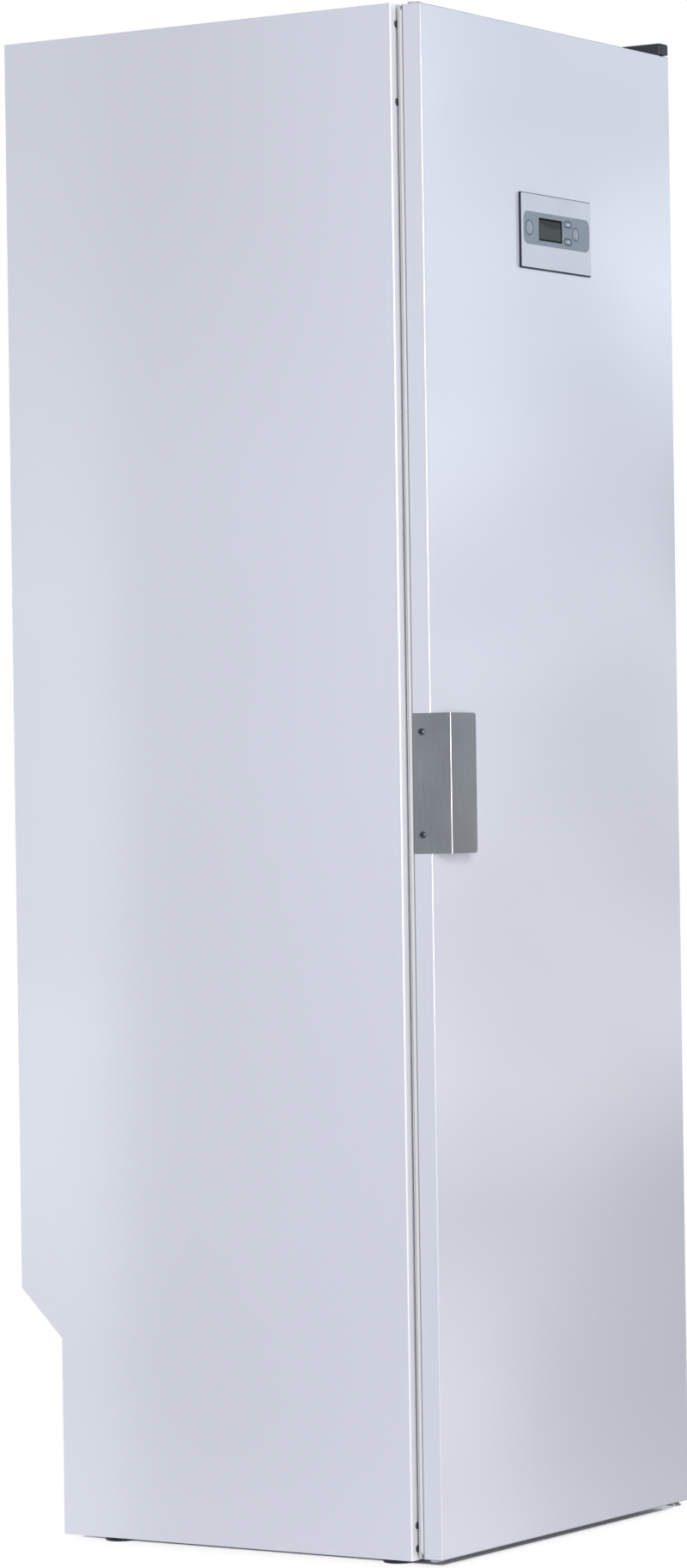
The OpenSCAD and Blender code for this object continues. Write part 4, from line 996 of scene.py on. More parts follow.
def rack_rods(bm, node):
    """A hanging rack: a bent frame on its pivot bar, with thin rods front to back."""
    sizes = look().rack
    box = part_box(node)
    r = sizes.frame_rod / 2
    thin = sizes.hang_rod / 2
    z = box[0].z + r
    y0 = box[0].y + r
    pivot_y = box[1].y - r
    x0 = LEFT + FLANGE_W + sizes.side + r
    x1 = RIGHT - FLANGE_W - sizes.side - r
    bend = sizes.bend
    straight_rod(bm, (box[0].x, pivot_y, z), (box[1].x, pivot_y, z), r, 20)
    rod(
        bm,
        (x0, pivot_y, z),
        [
            ("run", Vector((0.0, y0 + bend - pivot_y, 0.0))),
            ("bend", (x0 + bend, y0 + bend, z), (0, 0, 1), QUARTER),
            ("run", Vector((x1 - x0 - 2 * bend, 0.0, 0.0))),
            ("bend", (x1 - bend, y0 + bend, z), (0, 0, 1), QUARTER),
            ("run", Vector((0.0, pivot_y - y0 - bend, 0.0))),
        ],
        r,
        20,
    )
    pitch = (x1 - x0) / (sizes.hang_count + 1)
    level = z + r + thin - MM
    for i in range(1, sizes.hang_count + 1):
        x = x0 + i * pitch
        straight_rod(bm, (x, y0 - MM, level), (x, pivot_y + MM, level), thin)


class CABINET_OT_racks(bpy.types.Operator):
    """Bends the three hanging racks and the boot rack, and finishes their brackets"""

    bl_idname = "drying_cabinet.racks"
    bl_label = "Racks"

    def execute(self, context):
        bodies = {
            "top_rack": "cabinet",
            "middle_rack": "middle_rack_frame",
            "lower_rack": "lower_rack_frame",
        }
        for node, body in bodies.items():
            bm = bmesh.new()
            rack_rods(bm, node)
            make_piece(bm, node + "_wire", body, ["rack_coating"], [node])
        self.boot_rack()
        self.glove_rack()
        dressed("rack_brackets", "grey_plastic", 0.7)
        return {"FINISHED"}

    def boot_rack(self):
        """The wire shelf on its four legs."""
        sizes = look().rack
        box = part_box("boot_rack")
        r = sizes.frame_rod / 2
        thin = sizes.hang_rod / 2
        cross = r - MM
        x0, x1 = box[0].x + r, box[1].x - r
        y0, y1 = box[0].y + r, box[1].y - r
        z = box[1].z - cross - 2 * thin + MM
        bm = bmesh.new()
        for x in (x0, x1):
            straight_rod(bm, (x, y0 - r, z), (x, y1 + r, z), r)
            for y in (y0 + sizes.boot_leg, y1 - sizes.boot_leg):
                straight_rod(bm, (x, y, box[0].z), (x, y, z), cross)
        for y in (y0, y1):
            straight_rod(bm, (x0, y, z), (x1, y, z), cross)
        level = z + cross + thin - MM
        for i in range(1, sizes.boot_rods + 1):
            x = x0 + i * (x1 - x0) / (sizes.boot_rods + 1)
            straight_rod(bm, (x, y0 - MM, level), (x, y1 + MM, level), thin)
        make_piece(bm, "boot_rack_wire", "cabinet", ["rack_coating"], ["boot_rack"])

    def glove_rack(self):
        """Two bars with slanting pegs on the inside of the door."""
        sizes = look().rack
        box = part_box("glove_rack")
        r = sizes.hang_rod / 2
        foot = 3 * r
        bar_y = LIP_Y + sizes.glove_out
        x0, x1 = box[0].x, box[1].x
        ball = 1.8 * r
        lift = math.sin(sizes.peg_tilt)
        levels = [box[0].z + foot, box[1].z - sizes.peg * lift - ball]
        first = 3 * sizes.glove_foot
        thick, ease = 2 * MM, 0.6 * MM
        disc = [(0.0, 0.0), (foot, 0.0), (foot, thick - ease), (foot - ease, thick), (0.0, thick)]
        aim = Vector((0.0, math.cos(sizes.peg_tilt), lift))
        bm = bmesh.new()
        for z in levels:
            straight_rod(bm, (x0, bar_y, z), (x1, bar_y, z), r)
            for x in (x0 + sizes.glove_foot, x1 - sizes.glove_foot):
                straight_rod(bm, (x, box[0].y, z), (x, bar_y, z), r)
                turned(bm, disc, aimed((x, box[0].y, z), (0, 1, 0)), 32)
            for i in range(sizes.pegs):
                x = x0 + first + i * (x1 - x0 - 2 * first) / (sizes.pegs - 1)
                start = Vector((x, bar_y, z))
                tip = start + aim * sizes.peg
                straight_rod(bm, start, tip, r, 12)
                bmesh.ops.create_uvsphere(
                    bm, u_segments=16, v_segments=10, radius=ball, matrix=aimed(tip, aim)
                )
        make_piece(bm, "glove_rack_wire", "door", ["rack_coating"], ["glove_rack"])


# Door


def door_skin():
    """The outer skin: a pan with bent edges and a narrow return behind."""
    sheet = look().sheet
    sizes = look().door
    bm = bmesh.new()
    verts = box_between(bm, *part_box("door_skin"))
    back = face_towards(bm.faces, (0, 1, 0))
    outer = edges_of(verts)
    bmesh.ops.inset_region(bm, faces=[back], thickness=sizes.skin_return, use_even_offset=True)
    bmesh.ops.delete(bm, geom=[back], context="FACES")
    round_edges(bm, outer, sheet.bend, 5)
    wall = sheet.thickness
    make_piece(
        bm, "door_skin_sheet", "door", ["gloss_paint"], ["door_skin"], wall=wall
    )


def inner_pan():
    """The inner pan with its rounded rim and a shallow pressed field."""
    sheet = look().sheet
    sizes = look().door
    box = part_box("door_inner_pan")
    bm = bmesh.new()
    box_between(bm, (box[0].x, SEAM_Y, box[0].z), (box[1].x, LIP_Y, box[1].z))
    open_side = face_towards(bm.faces, (0, -1, 0))
    bmesh.ops.delete(bm, geom=[open_side], context="FACES_ONLY")
    bm.normal_update()
    face = face_towards(bm.faces, (0, 1, 0))
    inner = [e for e in bm.edges if len(e.link_faces) == 2]
    corners = [e for e in inner if abs(e.verts[0].co.y - e.verts[1].co.y) > MM]
    bmesh.ops.inset_region(bm, faces=[face], thickness=sizes.field_inset, use_even_offset=True)
    round_corners(bm, face.verts, sizes.field_corner, 8)
    bm.normal_update()
    field = max(
        (f for f in bm.faces if f.normal.y > 0.9 and len(f.verts) > 8),
        key=lambda f: f.calc_area(),
    )
    bmesh.ops.inset_region(
        bm,
        faces=[field],
        thickness=sizes.field_depth,
        depth=-sizes.field_depth,
        use_even_offset=True,
    )
    round_edges(bm, corners, sizes.pan_corner, 6)
    bm.normal_update()
    rim = [
        e
        for e in bm.edges
        if len(e.link_faces) == 2
        and all(abs(v.co.y - LIP_Y) < 1e-6 for v in e.verts)
        and any(abs(f.normal.y) < 0.1 for f in e.link_faces)
    ]
    round_edges(bm, rim, sizes.pan_edge, 4)
    nodes, wall = ["door_inner_pan"], sheet.thickness
    make_piece(bm, "door_pan_sheet", "door", ["liner_paint"], nodes, wall=wall)


def seam_painted_shade():
    """A thin grey strip in the seam between the skin and the inner pan: painted shade along the
    seam's groove.
    """
    sizes = look().door
    a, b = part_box("door_skin")
    y = SEAM_Y - sizes.seal - HAIR
    deep = 3 * sizes.seal
    bm = bmesh.new()
    loops = [
        flat_loop(bm, (a.x + HAIR, a.z + HAIR), (b.x - HAIR, b.z - HAIR), y, 0.0),
        flat_loop(bm, (a.x + deep, a.z + deep), (b.x - deep, b.z - deep), y, 0.0),
    ]
    pierced_slab(bm, loops, sizes.seal)
    make_piece(bm, "seam_painted_shade", "door", ["seam_painted_shade"])


def gasket_step(bm, outer, width, y0, y1, soft):
    """One step of the gasket: a frame with rounded edges."""
    a, b = outer
    plan = ((a[0], a[1]), (b[0], a[1]), (b[0], b[1]), (a[0], b[1]))
    plate = bm.faces.new([bm.verts.new((x, y0, z)) for x, z in plan])
    bm.normal_update()
    ring = bmesh.ops.inset_region(
        bm, faces=[plate], thickness=width, use_even_offset=True, use_boundary=True
    )["faces"]
    bmesh.ops.delete(bm, geom=[plate], context="FACES_ONLY")
    moved = pull(bm, bmesh.ops.extrude_face_region(bm, geom=ring), (0.0, y1 - y0, 0.0))
    verts = {v for f in ring for v in f.verts} | set(moved)
    long_edges = [e for e in edges_of(verts) if e.calc_length() > 0.1]
    bmesh.ops.recalc_face_normals(bm, faces=faces_of(verts))
    if not long_edges:
        raise RuntimeError("the gasket has no edges to round")
    round_edges(bm, long_edges, soft, 3)


def gasket():
    """The magnetic gasket: base strip, folded bellows and magnetic face."""
    sizes = look().door
    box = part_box("door_gasket")
    base = sizes.gasket_base
    shift = sizes.gasket_inset - (box[0].x - low("door_skin").x)
    face_y = box[1].y - LIP_Y
    # Inset, width, where a step starts and ends behind the pan's lip, and its rounding
    steps = (
        (0.0, shift + sizes.gasket_width, 0.0, base, 0.7 * MM),
        (shift + 2.5 * MM, 9 * MM, base - 0.3 * MM, base + 1.5 * MM, 0.5 * MM),
        (shift + 4.5 * MM, 5 * MM, base + MM, base + 2.4 * MM, 0.4 * MM),
        (shift, sizes.gasket_width, face_y - sizes.gasket_face, face_y, 1.4 * MM),
    )
    bm = bmesh.new()
    for inset, width, y0, y1, soft in steps:
        a = (box[0].x + inset, box[0].z + inset)
        b = (box[1].x - inset, box[1].z - inset)
        gasket_step(bm, (a, b), width, LIP_Y + y0, LIP_Y + y1, soft)
    nodes = ["door_gasket"]
    make_piece(bm, "gasket_frame", "door", ["gasket_vinyl"], nodes, clean=False)


class CABINET_OT_door(bpy.types.Operator):
    """Bends the door's skin and inner pan, and lays the gasket"""

    bl_idname = "drying_cabinet.door"
    bl_label = "Door"

    def execute(self, context):
        door_skin()
        inner_pan()
        seam_painted_shade()
        gasket()
        paint_node("door_insulation", "mineral_wool")
        for node in ("door_hinge_bushes", "spare_bushes"):
            dressed(node, "grey_plastic", 0.3)
        return {"FINISHED"}


# Handle


def socket_screw(bm, point, direction, radius, height):
    """A button head with a hexagonal socket; the direction points out of the surface."""
    place = aimed(point, direction)
    rim = radius * BUTTON_DOME[-1][0]
    depth = height * 1.2
    turned(bm, scaled(BUTTON_DOME, radius, height), place, 36)
    back = place.inverted()
    centre = Vector((0, 0, height))
    top = [v for v in bm.verts if v.is_valid and (back @ v.co - centre).length < rim * 1.02]
    ring = [e for e in edges_of(top) if abs((back @ e.verts[0].co).to_2d().length - rim) < WELD]
    matrix = place @ Matrix.Translation(centre)
    hexagon = bmesh.ops.create_circle(
        bm, cap_ends=True, segments=6, radius=radius * 0.36, matrix=matrix
    )
    floor = hexagon["verts"][0].link_faces[0]
    bmesh.ops.bridge_loops(bm, edges=ring + list(floor.edges))
    raise_face(bm, floor, place.to_3x3() @ Vector((0, 0, -depth)))


class CABINET_OT_handle(bpy.types.Operator):
    """Bends the stainless handle and sets its two screws"""

    bl_idname = "drying_cabinet.handle"
    bl_label = "Handle"

    def execute(self, context):
        self.plate()
        self.screws()
        dressed("handle_nut_plate", "galvanised_sheet", 0.2)
        return {"FINISHED"}

    def plate(self):
        """One plate bent at a right angle round the door's edge."""
        sizes = look().handle
        a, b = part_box("handle")
        bm = bmesh.new()
        edges = chain(bm, ((a.x, b.y, a.z), (a.x, a.y, a.z), (b.x, a.y, a.z)))[1]
        pull(bm, bmesh.ops.extrude_edge_only(bm, edges=edges), (0.0, 0.0, b.z - a.z))
        front = [v for v in bm.verts if v.co.x > b.x - MM]
        round_corners(bm, front, sizes.corner, 7)
        side = [v for v in bm.verts if v.co.y > b.y - MM and v.co.x < a.x + MM]
        round_corners(bm, side, sizes.side_corner, 4)
        bend = [e for e in bm.edges if len(e.link_faces) == 2]
        round_edges(bm, bend, sizes.bend, 8)
        face_out(bm, (-1, 0, 0))
        # The front face takes the darker copy of the steel, painted shade
        face_towards(bm.faces, (0, -1, 0)).material_index = 1
        metals = ["brushed_steel", "front_steel_painted_shade"]
        wall, edge = sizes.thickness, sizes.edge
        make_piece(
            bm, "handle_plate", "door", metals, ["handle"], wall=wall, edge=edge
        )

    def screws(self):
        """Two button head screws through the handle's side."""
        sizes = look().handle
        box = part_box("handle_screws")
        y = (box[0].y + box[1].y) / 2
        x = low("handle").x
        bm = bmesh.new()
        for z in (box[0].z + sizes.head, box[1].z - sizes.head):
            socket_screw(bm, (x, y, z), (-1, 0, 0), sizes.head, sizes.head_height)
            straight_rod(bm, (x + MM, y, z), (box[1].x, y, z), 2 * MM, 12)
        make_piece(bm, "handle_screw_pair", "door", ["screw_steel"], ["handle_screws"])


# Controls


def flat_shape(bm, a, b, y, radius, segments=8):
    """A face between two corners (x, z) with rounded corners, which looks towards -Y."""
    before = set(bm.faces)
    size = Vector((b[0] - a[0], 1.0, b[1] - a[1]))
    centre = Vector(((a[0] + b[0]) / 2, y, (a[1] + b[1]) / 2))
    matrix = Matrix.LocRotScale(centre, None, size) @ Matrix.Rotation(QUARTER, 4, "X")
    verts = bmesh.ops.create_grid(bm, x_segments=1, y_segments=1, size=0.5, matrix=matrix)["verts"]
    if radius:
        round_corners(bm, verts, radius * 0.999, segments)
    return next(f for f in bm.faces if f not in before)


def flat_loop(bm, a, b, y, radius, segments=8):
    """Only the edges of such a face."""
    return keep_edges(bm, flat_shape(bm, a, b, y, radius, segments))


def pierced_slab(bm, loops, depth):
    """A slab inside the first loop, with the other loops cut out."""
    edges = [e for loop in loops for e in loop]
    filled = bmesh.ops.triangle_fill(
        bm, use_beauty=True, use_dissolve=False, edges=edges, normal=(0, -1, 0)
    )["geom"]
    faces = [g for g in filled if isinstance(g, bmesh.types.BMFace)]
    pull(bm, bmesh.ops.extrude_face_region(bm, geom=faces), (0.0, depth, 0.0))


def key_shape(bm, key, y, grow=0.0):
    """A key's round or oval face in a plane that looks towards -Y, moved out by a distance."""
    a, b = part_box(key)
    centre = Vector(((a.x + b.x) / 2, y, (a.z + b.z) / 2))
    matrix = Matrix.Translation(centre) @ Matrix.Rotation(QUARTER, 4, "X")
    radius = (b.z - a.z) / 2 + grow
    verts = bmesh.ops.create_circle(
        bm, cap_ends=True, segments=42, radius=radius, matrix=matrix
    )["verts"]
    stretch = ((b.x - a.x) - (b.z - a.z)) / 2
    for side in (-1, 1):
        half = [v for v in verts if (v.co.x - centre.x) * side > 0]
        bmesh.ops.translate(bm, vec=(side * stretch, 0.0, 0.0), verts=half)
    return verts[0].link_faces[0]


def key_loop(bm, key, y, grow):
    """Only the edges of a key's face."""
    return keep_edges(bm, key_shape(bm, key, y, grow))


def key_cap(node, body):
    """One key: a cap with a soft rim and a shallow dome."""
    sizes = look().control
    a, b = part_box(node)
    radius = (b.z - a.z) / 2
    bm = bmesh.new()
    face = key_shape(bm, node, b.y)
    top = raise_face(bm, face, (0.0, a.y + sizes.dome - b.y, 0.0))
    bm.normal_update()
    for share, rise in ((0.12, 0.55), (0.16, 0.3), (0.2, 0.15)):
        bmesh.ops.inset_region(bm, faces=[top], thickness=radius * share, use_even_offset=True)
        bmesh.ops.translate(bm, vec=(0.0, -sizes.dome * rise, 0.0), verts=top.verts)
    face_finish = "keypad_foil" if node in ARROWS else "key_face"
    make_piece(bm, node + "_cap", body, [face_finish], [node], sharp=60.0)


class CABINET_OT_controls(bpy.types.Operator):
    """Makes the control plate with its grey band, display and four keys"""

    bl_idname = "drying_cabinet.controls"
    bl_label = "Controls"

    def execute(self, context):
        self.plate()
        self.band()
        self.display()
        for key in KEYS:
            key_cap(key, key + "_body")
        self.rings()
        self.arrows()
        dressed("control_housing", "black_plastic", 0.3)
        paint_node("circuit_board", "circuit_board")
        return {"FINISHED"}

    def plate(self):
        """The plate: a dark base under a pale clear coated layer. The bevel round the layer is
        painted near white and glows, a painted highlight; the base shows wider below the layer,
        partly as a painted shadow.
        """
        sizes = look().control
        a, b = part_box("control_plate")
        c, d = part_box("keypad_band")
        step_y = a.y + sizes.clear
        bm = bmesh.new()
        border = flat_loop(bm, (a.x, a.z), (b.x, b.z), step_y, sizes.corner, 4)
        opening = flat_loop(bm, (c.x, c.z), (d.x, d.z), step_y, sizes.band_corner, 12)
        pierced_slab(bm, [border, opening], b.y - step_y)
        base = set(bm.faces)
        # The lower step leaves a wider dark strip below the front layer, partly a painted shadow
        lower = (a.x + HAIR, a.z + sizes.step_low)
        upper = (b.x - sizes.step_right, b.z - sizes.step_high)
        border = flat_loop(bm, lower, upper, a.y, sizes.corner, 4)
        opening = flat_loop(bm, (c.x, c.z), (d.x, d.z), a.y, sizes.band_corner, 12)
        pierced_slab(bm, [border, opening], step_y + HAIR - a.y)
        bmesh.ops.recalc_face_normals(bm, faces=bm.faces)
        round_edges(bm, [e for e in border if e.is_valid], sizes.bevel, 1)
        bm.normal_update()
        # Base and side faces take the dark edge finish; the bevel faces take the near white glowing
        # finish, a painted highlight
        for f in bm.faces:
            if f in base or f.normal.y > -0.3:
                f.material_index = 1
            elif f.normal.y > -0.97:
                f.material_index = 2
            else:
                f.material_index = 0
        shades = ["control_plate_face", "control_plate_edge", "control_plate_painted_highlight"]
        nodes = ["control_plate"]
        make_piece(bm, "control_plate_face", "door", shades, nodes, sharp=20.0)

    def band(self):
        """The grey band with its openings for the display and the keys."""
        sizes = look().control
        a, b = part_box("keypad_band")
        y = a.y - HAIR
        bm = bmesh.new()
        loops = [flat_loop(bm, (a.x, a.z), (b.x, b.z), y, sizes.band_corner, 12)]
        c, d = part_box("display_window")
        loops.append(flat_loop(bm, (c.x, c.z), (d.x, d.z), y, 0.8 * MM, 3))
        loops += [key_loop(bm, key, y, 0.2 * MM) for key in KEYS]
        pierced_slab(bm, loops, b.y - y)
        make_piece(bm, "keypad_foil", "door", ["keypad_foil"], ["keypad_band"])

    def display(self):
        """The display: a black frame round a sunk pane."""
        sizes = look().control
        a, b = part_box("display_window")
        rim = sizes.display_rim
        front = a.y - 2 * HAIR
        sunk = front + sizes.display_depth
        inner = ((a.x + rim * 0.5, a.z + rim * 0.8), (b.x - rim, b.z - rim))
        bm = bmesh.new()
        loops = [
            flat_loop(bm, (a.x, a.z), (b.x, b.z), front, 0.8 * MM, 3),
            flat_loop(bm, *inner, front, 0.3 * MM, 3),
        ]
        pierced_slab(bm, loops, b.y - front)
        for f in bm.faces:
            f.material_index = 0
        pane = flat_shape(bm, *inner, sunk, 0.3 * MM, 3)
        pane.material_index = 1
        raise_face(bm, pane, (0.0, b.y - sunk - HAIR, 0.0))
        shades = ["display_rim", "display_glass"]
        make_piece(bm, "display_pane", "door", shades, ["display_window"], sharp=25.0)

    def rings(self):
        """A thin dark ring round each key: painted shade for the narrow gap round the key."""
        sizes = look().control
        y = low("keypad_band").y - 2 * HAIR
        bm = bmesh.new()
        for key in KEYS:
            width = sizes.arrow_ring if key in ARROWS else sizes.ring
            gap = 0.3 * MM
            loops = [key_loop(bm, key, y, grow) for grow in (gap + width, gap)]
            pierced_slab(bm, loops, HAIR)
        make_piece(bm, "key_rings", "door", ["key_ring"])

    def arrows(self):
        """A light printed arrow head on each of the two arrow keys, stretched wide to stand also
        for the key's highlight: partly print, partly painted highlight.
        """
        for node, way in zip(ARROWS, (1.0, -1.0)):
            a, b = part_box(node)
            size = (b.z - a.z) * 0.38
            matrix = Matrix.LocRotScale(
                Vector(((a.x + b.x) / 2, a.y - 2 * HAIR, (a.z + b.z) / 2 - way * size * 0.15)),
                Matrix.Rotation(QUARTER, 3, "X") @ Matrix.Rotation(-way * QUARTER, 3, "Z"),
                Vector((0.62, 1.9, 1.0)),
            )
            bm = bmesh.new()
            head = bmesh.ops.create_circle(
                bm, cap_ends=True, segments=3, radius=size, matrix=matrix
            )
            raise_face(bm, head["verts"][0].link_faces[0], (0.0, HAIR, 0.0))
            make_piece(bm, node + "_arrow", node + "_body", ["key_sign_and_highlight"])


# Hinges and small parts


def plug_levels(node, radius):
    """Heights of the pieces in a column, read from the separate parts of a node."""
    heights = sorted(v.co.z for v in frame["nodes"][node].data.vertices)
    groups = []
    for z in heights:
        if not groups or z - groups[-1][-1] > 2 * MM + radius:
            groups.append([z])
        groups[-1].append(z)
    return [(g[0] + g[-1]) / 2 for g in groups]


class CABINET_OT_hinges(bpy.types.Operator):
    """Finishes the hinges, their cover and pins, the hole plugs and the screws"""

    bl_idname = "drying_cabinet.hinges"
    bl_label = "Hinges and fasteners"

    def execute(self, context):
        self.cover()
        self.plugs()
        hinges = ("upper_hinge_arm", "lower_hinge_bracket", "hinge_pins")
        for node in (*hinges, "hinge_screws", "rear_screws"):
            dressed(node, "bright_steel", 0.25)
        return {"FINISHED"}

    def cover(self):
        """The moulded cover over the upper hinge, open below."""
        sizes = look().part
        bm = bmesh.new()
        verts = box_between(bm, *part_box("hinge_cover"))
        bottom = face_towards(bm.faces, (0, 0, -1))
        top_edges = [e for e in edges_of(verts) if bottom not in e.link_faces]
        bmesh.ops.delete(bm, geom=[bottom], context="FACES_ONLY")
        round_edges(bm, top_edges, sizes.cover_edge, 5)
        nodes, wall = ["hinge_cover"], sizes.cover_wall
        make_piece(
            bm, "hinge_cover_shell", "cabinet", ["black_plastic"], nodes, wall=wall
        )

    def plugs(self):
        """Four domed plugs in the flange's spare holes."""
        sizes = look().part
        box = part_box("hinge_hole_plugs")
        x = (box[0].x + box[1].x) / 2
        height = FLANGE_Y - box[0].y
        dome = scaled(PLUG_DOME, sizes.plug, height)
        bm = bmesh.new()
        for z in plug_levels("hinge_hole_plugs", sizes.plug):
            turned(bm, dome, aimed((x, FLANGE_Y, z), (0, -1, 0)), 32)
            straight_rod(bm, (x, FLANGE_Y, z), (x, box[1].y, z), 3 * MM, 16)
        nodes = ["hinge_hole_plugs"]
        make_piece(bm, "flange_plugs", "cabinet", ["black_plastic"], nodes)


class CABINET_OT_feet(bpy.types.Operator):
    """Turns the four levelling feet and finishes their nuts"""

    bl_idname = "drying_cabinet.feet"
    bl_label = "Feet"

    def execute(self, context):
        sizes = look().part
        neck = 7 * MM
        pitch = 1.5 * MM
        sole = [
            (0.0, 0.0),
            (sizes.foot - 0.6 * MM, 0.0),
            (sizes.foot, 0.6 * MM),
            (sizes.foot, 3.4 * MM),
            (sizes.foot - 0.8 * MM, 4.2 * MM),
            (sizes.foot - 5 * MM, neck - 0.4 * MM),
            (sizes.foot - 6 * MM, neck),
            (sizes.stud, neck),
        ]
        for corner in ("front_left", "front_right", "rear_left", "rear_right"):
            node = "foot_" + corner
            a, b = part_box(node)
            centre = (a + b) / 2
            tall = b.z - a.z
            outline = list(sole)
            z = neck
            while z + pitch < tall:
                outline += [(sizes.stud - 0.6 * MM, z + pitch / 2), (sizes.stud, z + pitch)]
                z += pitch
            outline += [(sizes.stud - MM, tall), (0.0, tall)]
            bm = bmesh.new()
            turned(bm, outline, Matrix.Translation((centre.x, centre.y, a.z)), 40)
            make_piece(
                bm, node + "_turned", node + "_body", ["black_plastic"], [node]
            )
        dressed("foot_nuts", "bright_steel", 0.4)
        return {"FINISHED"}


class CABINET_OT_air(bpy.types.Operator):
    """Makes the exhaust spigot, and finishes the inlet grille and the cable gland"""

    bl_idname = "drying_cabinet.air"
    bl_label = "Air and cable openings"

    def execute(self, context):
        self.spigot()
        dressed("inlet_grille", "black_plastic", 0.3)
        dressed("cable_gland", "black_plastic", 0.4)
        return {"FINISHED"}

    def spigot(self):
        """A turned spigot with a rolled edge, two crimped rings and its fixing flange."""
        sizes = look().part
        a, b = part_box("exhaust_spigot")
        centre = (a + b) / 2
        rim = (b.x - a.x) / 2
        r = rim - 12 * MM
        wall = sizes.spigot_wall
        base = TOP - a.z
        tall = b.z - a.z
        groove, slope = 0.6 * MM, 1.6 * MM  # half heights of a crimped ring, inside and outside
        inner = r - 0.7 * MM
        outline = [(r, 0.0), (r, base), (rim - 0.4 * MM, base), (rim, base + 0.5 * MM)]
        outline += [
            (rim - 0.3 * MM, base + 1.5 * MM), (r + MM, base + 1.5 * MM), (r, base + 2.5 * MM)
        ]
        for z in (tall * 0.45, tall * 0.6):
            outline += [(r, z - slope), (inner, z - groove), (inner, z + groove), (r, z + slope)]
        outline += [(r, tall - 0.4 * MM), (r - 0.5 * wall, tall), (r - wall, tall - 0.4 * MM)]
        outline += [(r - wall, 0.0), (r, 0.0)]
        bm = bmesh.new()
        turned(bm, outline, Matrix.Translation((centre.x, centre.y, a.z)), 96)
        nodes = ["exhaust_spigot"]
        make_piece(
            bm, "exhaust_spigot_turned", "cabinet", ["galvanised_sheet"], nodes
        )


class CABINET_OT_machinery(bpy.types.Operator):
    """Finishes the fan, heater, duct and terminal box above the drying space"""

    bl_idname = "drying_cabinet.machinery"
    bl_label = "Fan and heater"

    def execute(self, context):
        metal = ("fan_scroll", "heater_box", "exhaust_duct", "blower_wheel")
        for node in metal:
            dressed(node, "galvanised_sheet", 0.2)
        dressed("motor_shaft", "bright_steel", 0.3)
        dressed("fan_motor", "black_plastic", 0.4)
        dressed("limit_thermostats", "black_plastic", 0.2)
        dressed("terminal_box", "grey_plastic", 0.6)
        dressed("heater_element", "heater_sheath")
        return {"FINISHED"}


# Stage


KEY_ANGLE = 42.0
KEY_DISTANCE = 4.5
ROOF_HEIGHT = 4.0
ROOF_SPREAD = 24.0
CARD_FOOT = -0.9
CARD_HEIGHT = 4.5
SIDE_TINT = (0.95, 0.975, 1.0)
# Darker and brighter places on the door's card: y, z, half width, half height, share of the glow
DOOR_PATCHES = (
    (-2.0, 1.42, 0.12, 0.22, 0.05),
    (-2.0, -0.2, 0.36, 0.55, 0.1),
    (-2.1, 1.95, 0.14, 0.24, 1.35),
)
FLOOR_RADIUS = 2.0
SHADE_FALL = 200.0  # how fast the contact shade fades, per metre
WHITE = (1.0, 1.0, 1.0, 1.0)


def soft_box(name, degrees, radiance, width=1.5, height=2.9, distance=3.4, level=1.0):
    """A soft light that faces the cabinet, in a direction counted from the left to the front."""
    turn = math.radians(degrees)
    data = bpy.data.lights.new(name, "AREA")
    data.shape = "RECTANGLE"
    data.size = width
    data.size_y = height
    data.energy = radiance * width * height * math.pi
    lamp = new_object(name, data)
    lamp.visible_camera = False
    lamp.location = (-math.cos(turn) * distance, -math.sin(turn) * distance, level)
    aim = Vector((0.0, 0.0, level)) - lamp.location
    lamp.rotation_euler = aim.to_track_quat("-Z", "Y").to_euler()
    return lamp


def glow_card(name, foot, along, glows, tints, cloud, patches=()):
    """An upright card, clouded and patched, whose glow and tint change from its foot to its top."""
    foot, along = Vector((*foot, CARD_FOOT)), Vector(along)
    rise = Vector((0.0, 0.0, CARD_HEIGHT))
    axes = Matrix((along, rise, along.cross(rise).normalized())).transposed().to_4x4()
    bm = bmesh.new()
    matrix = Matrix.Translation(foot + (along + rise) / 2) @ axes
    bmesh.ops.create_grid(bm, x_segments=1, y_segments=1, size=0.5, matrix=matrix)
    mesh = mesh_from(bm, name)
    box = Paintbox(name, (0.0, 0.0, 0.0), 1.0)
    box.set(**{"Specular IOR Level": 0.0})
    level = box.add("ShaderNodeSeparateXYZ", {"Vector": box.place}).outputs["Z"]
    glow = box.spread(level, *glows, CARD_FOOT, CARD_FOOT + CARD_HEIGHT)
    scale, depth = cloud
    clouds = box.spread(box.noise(scale, 3.0), 1.0 - depth, 1.0 + depth, 0.3, 0.7)
    glow = box.math("MULTIPLY", glow, clouds)
    for y, z, half_y, half_z, share in patches:
        away = box.vector("SUBTRACT", box.place, (0.0, y, z))
        away = box.vector("MULTIPLY", away, (0.0, 1.0 / half_y, 1.0 / half_z))
        reach = box.vector("LENGTH", away, output="Value")
        glow = box.math("MULTIPLY", glow, box.spread(reach, share, 1.0, 0.75, 1.2))
    box.link(glow, "Emission Strength")
    box.link(box.blend(box.spread(level, 0.0, 1.0, 0.0, 2.2), tints), "Emission Color")
    mesh.materials.append(box.material)
    card = new_object(name, mesh)
    card.visible_camera = False


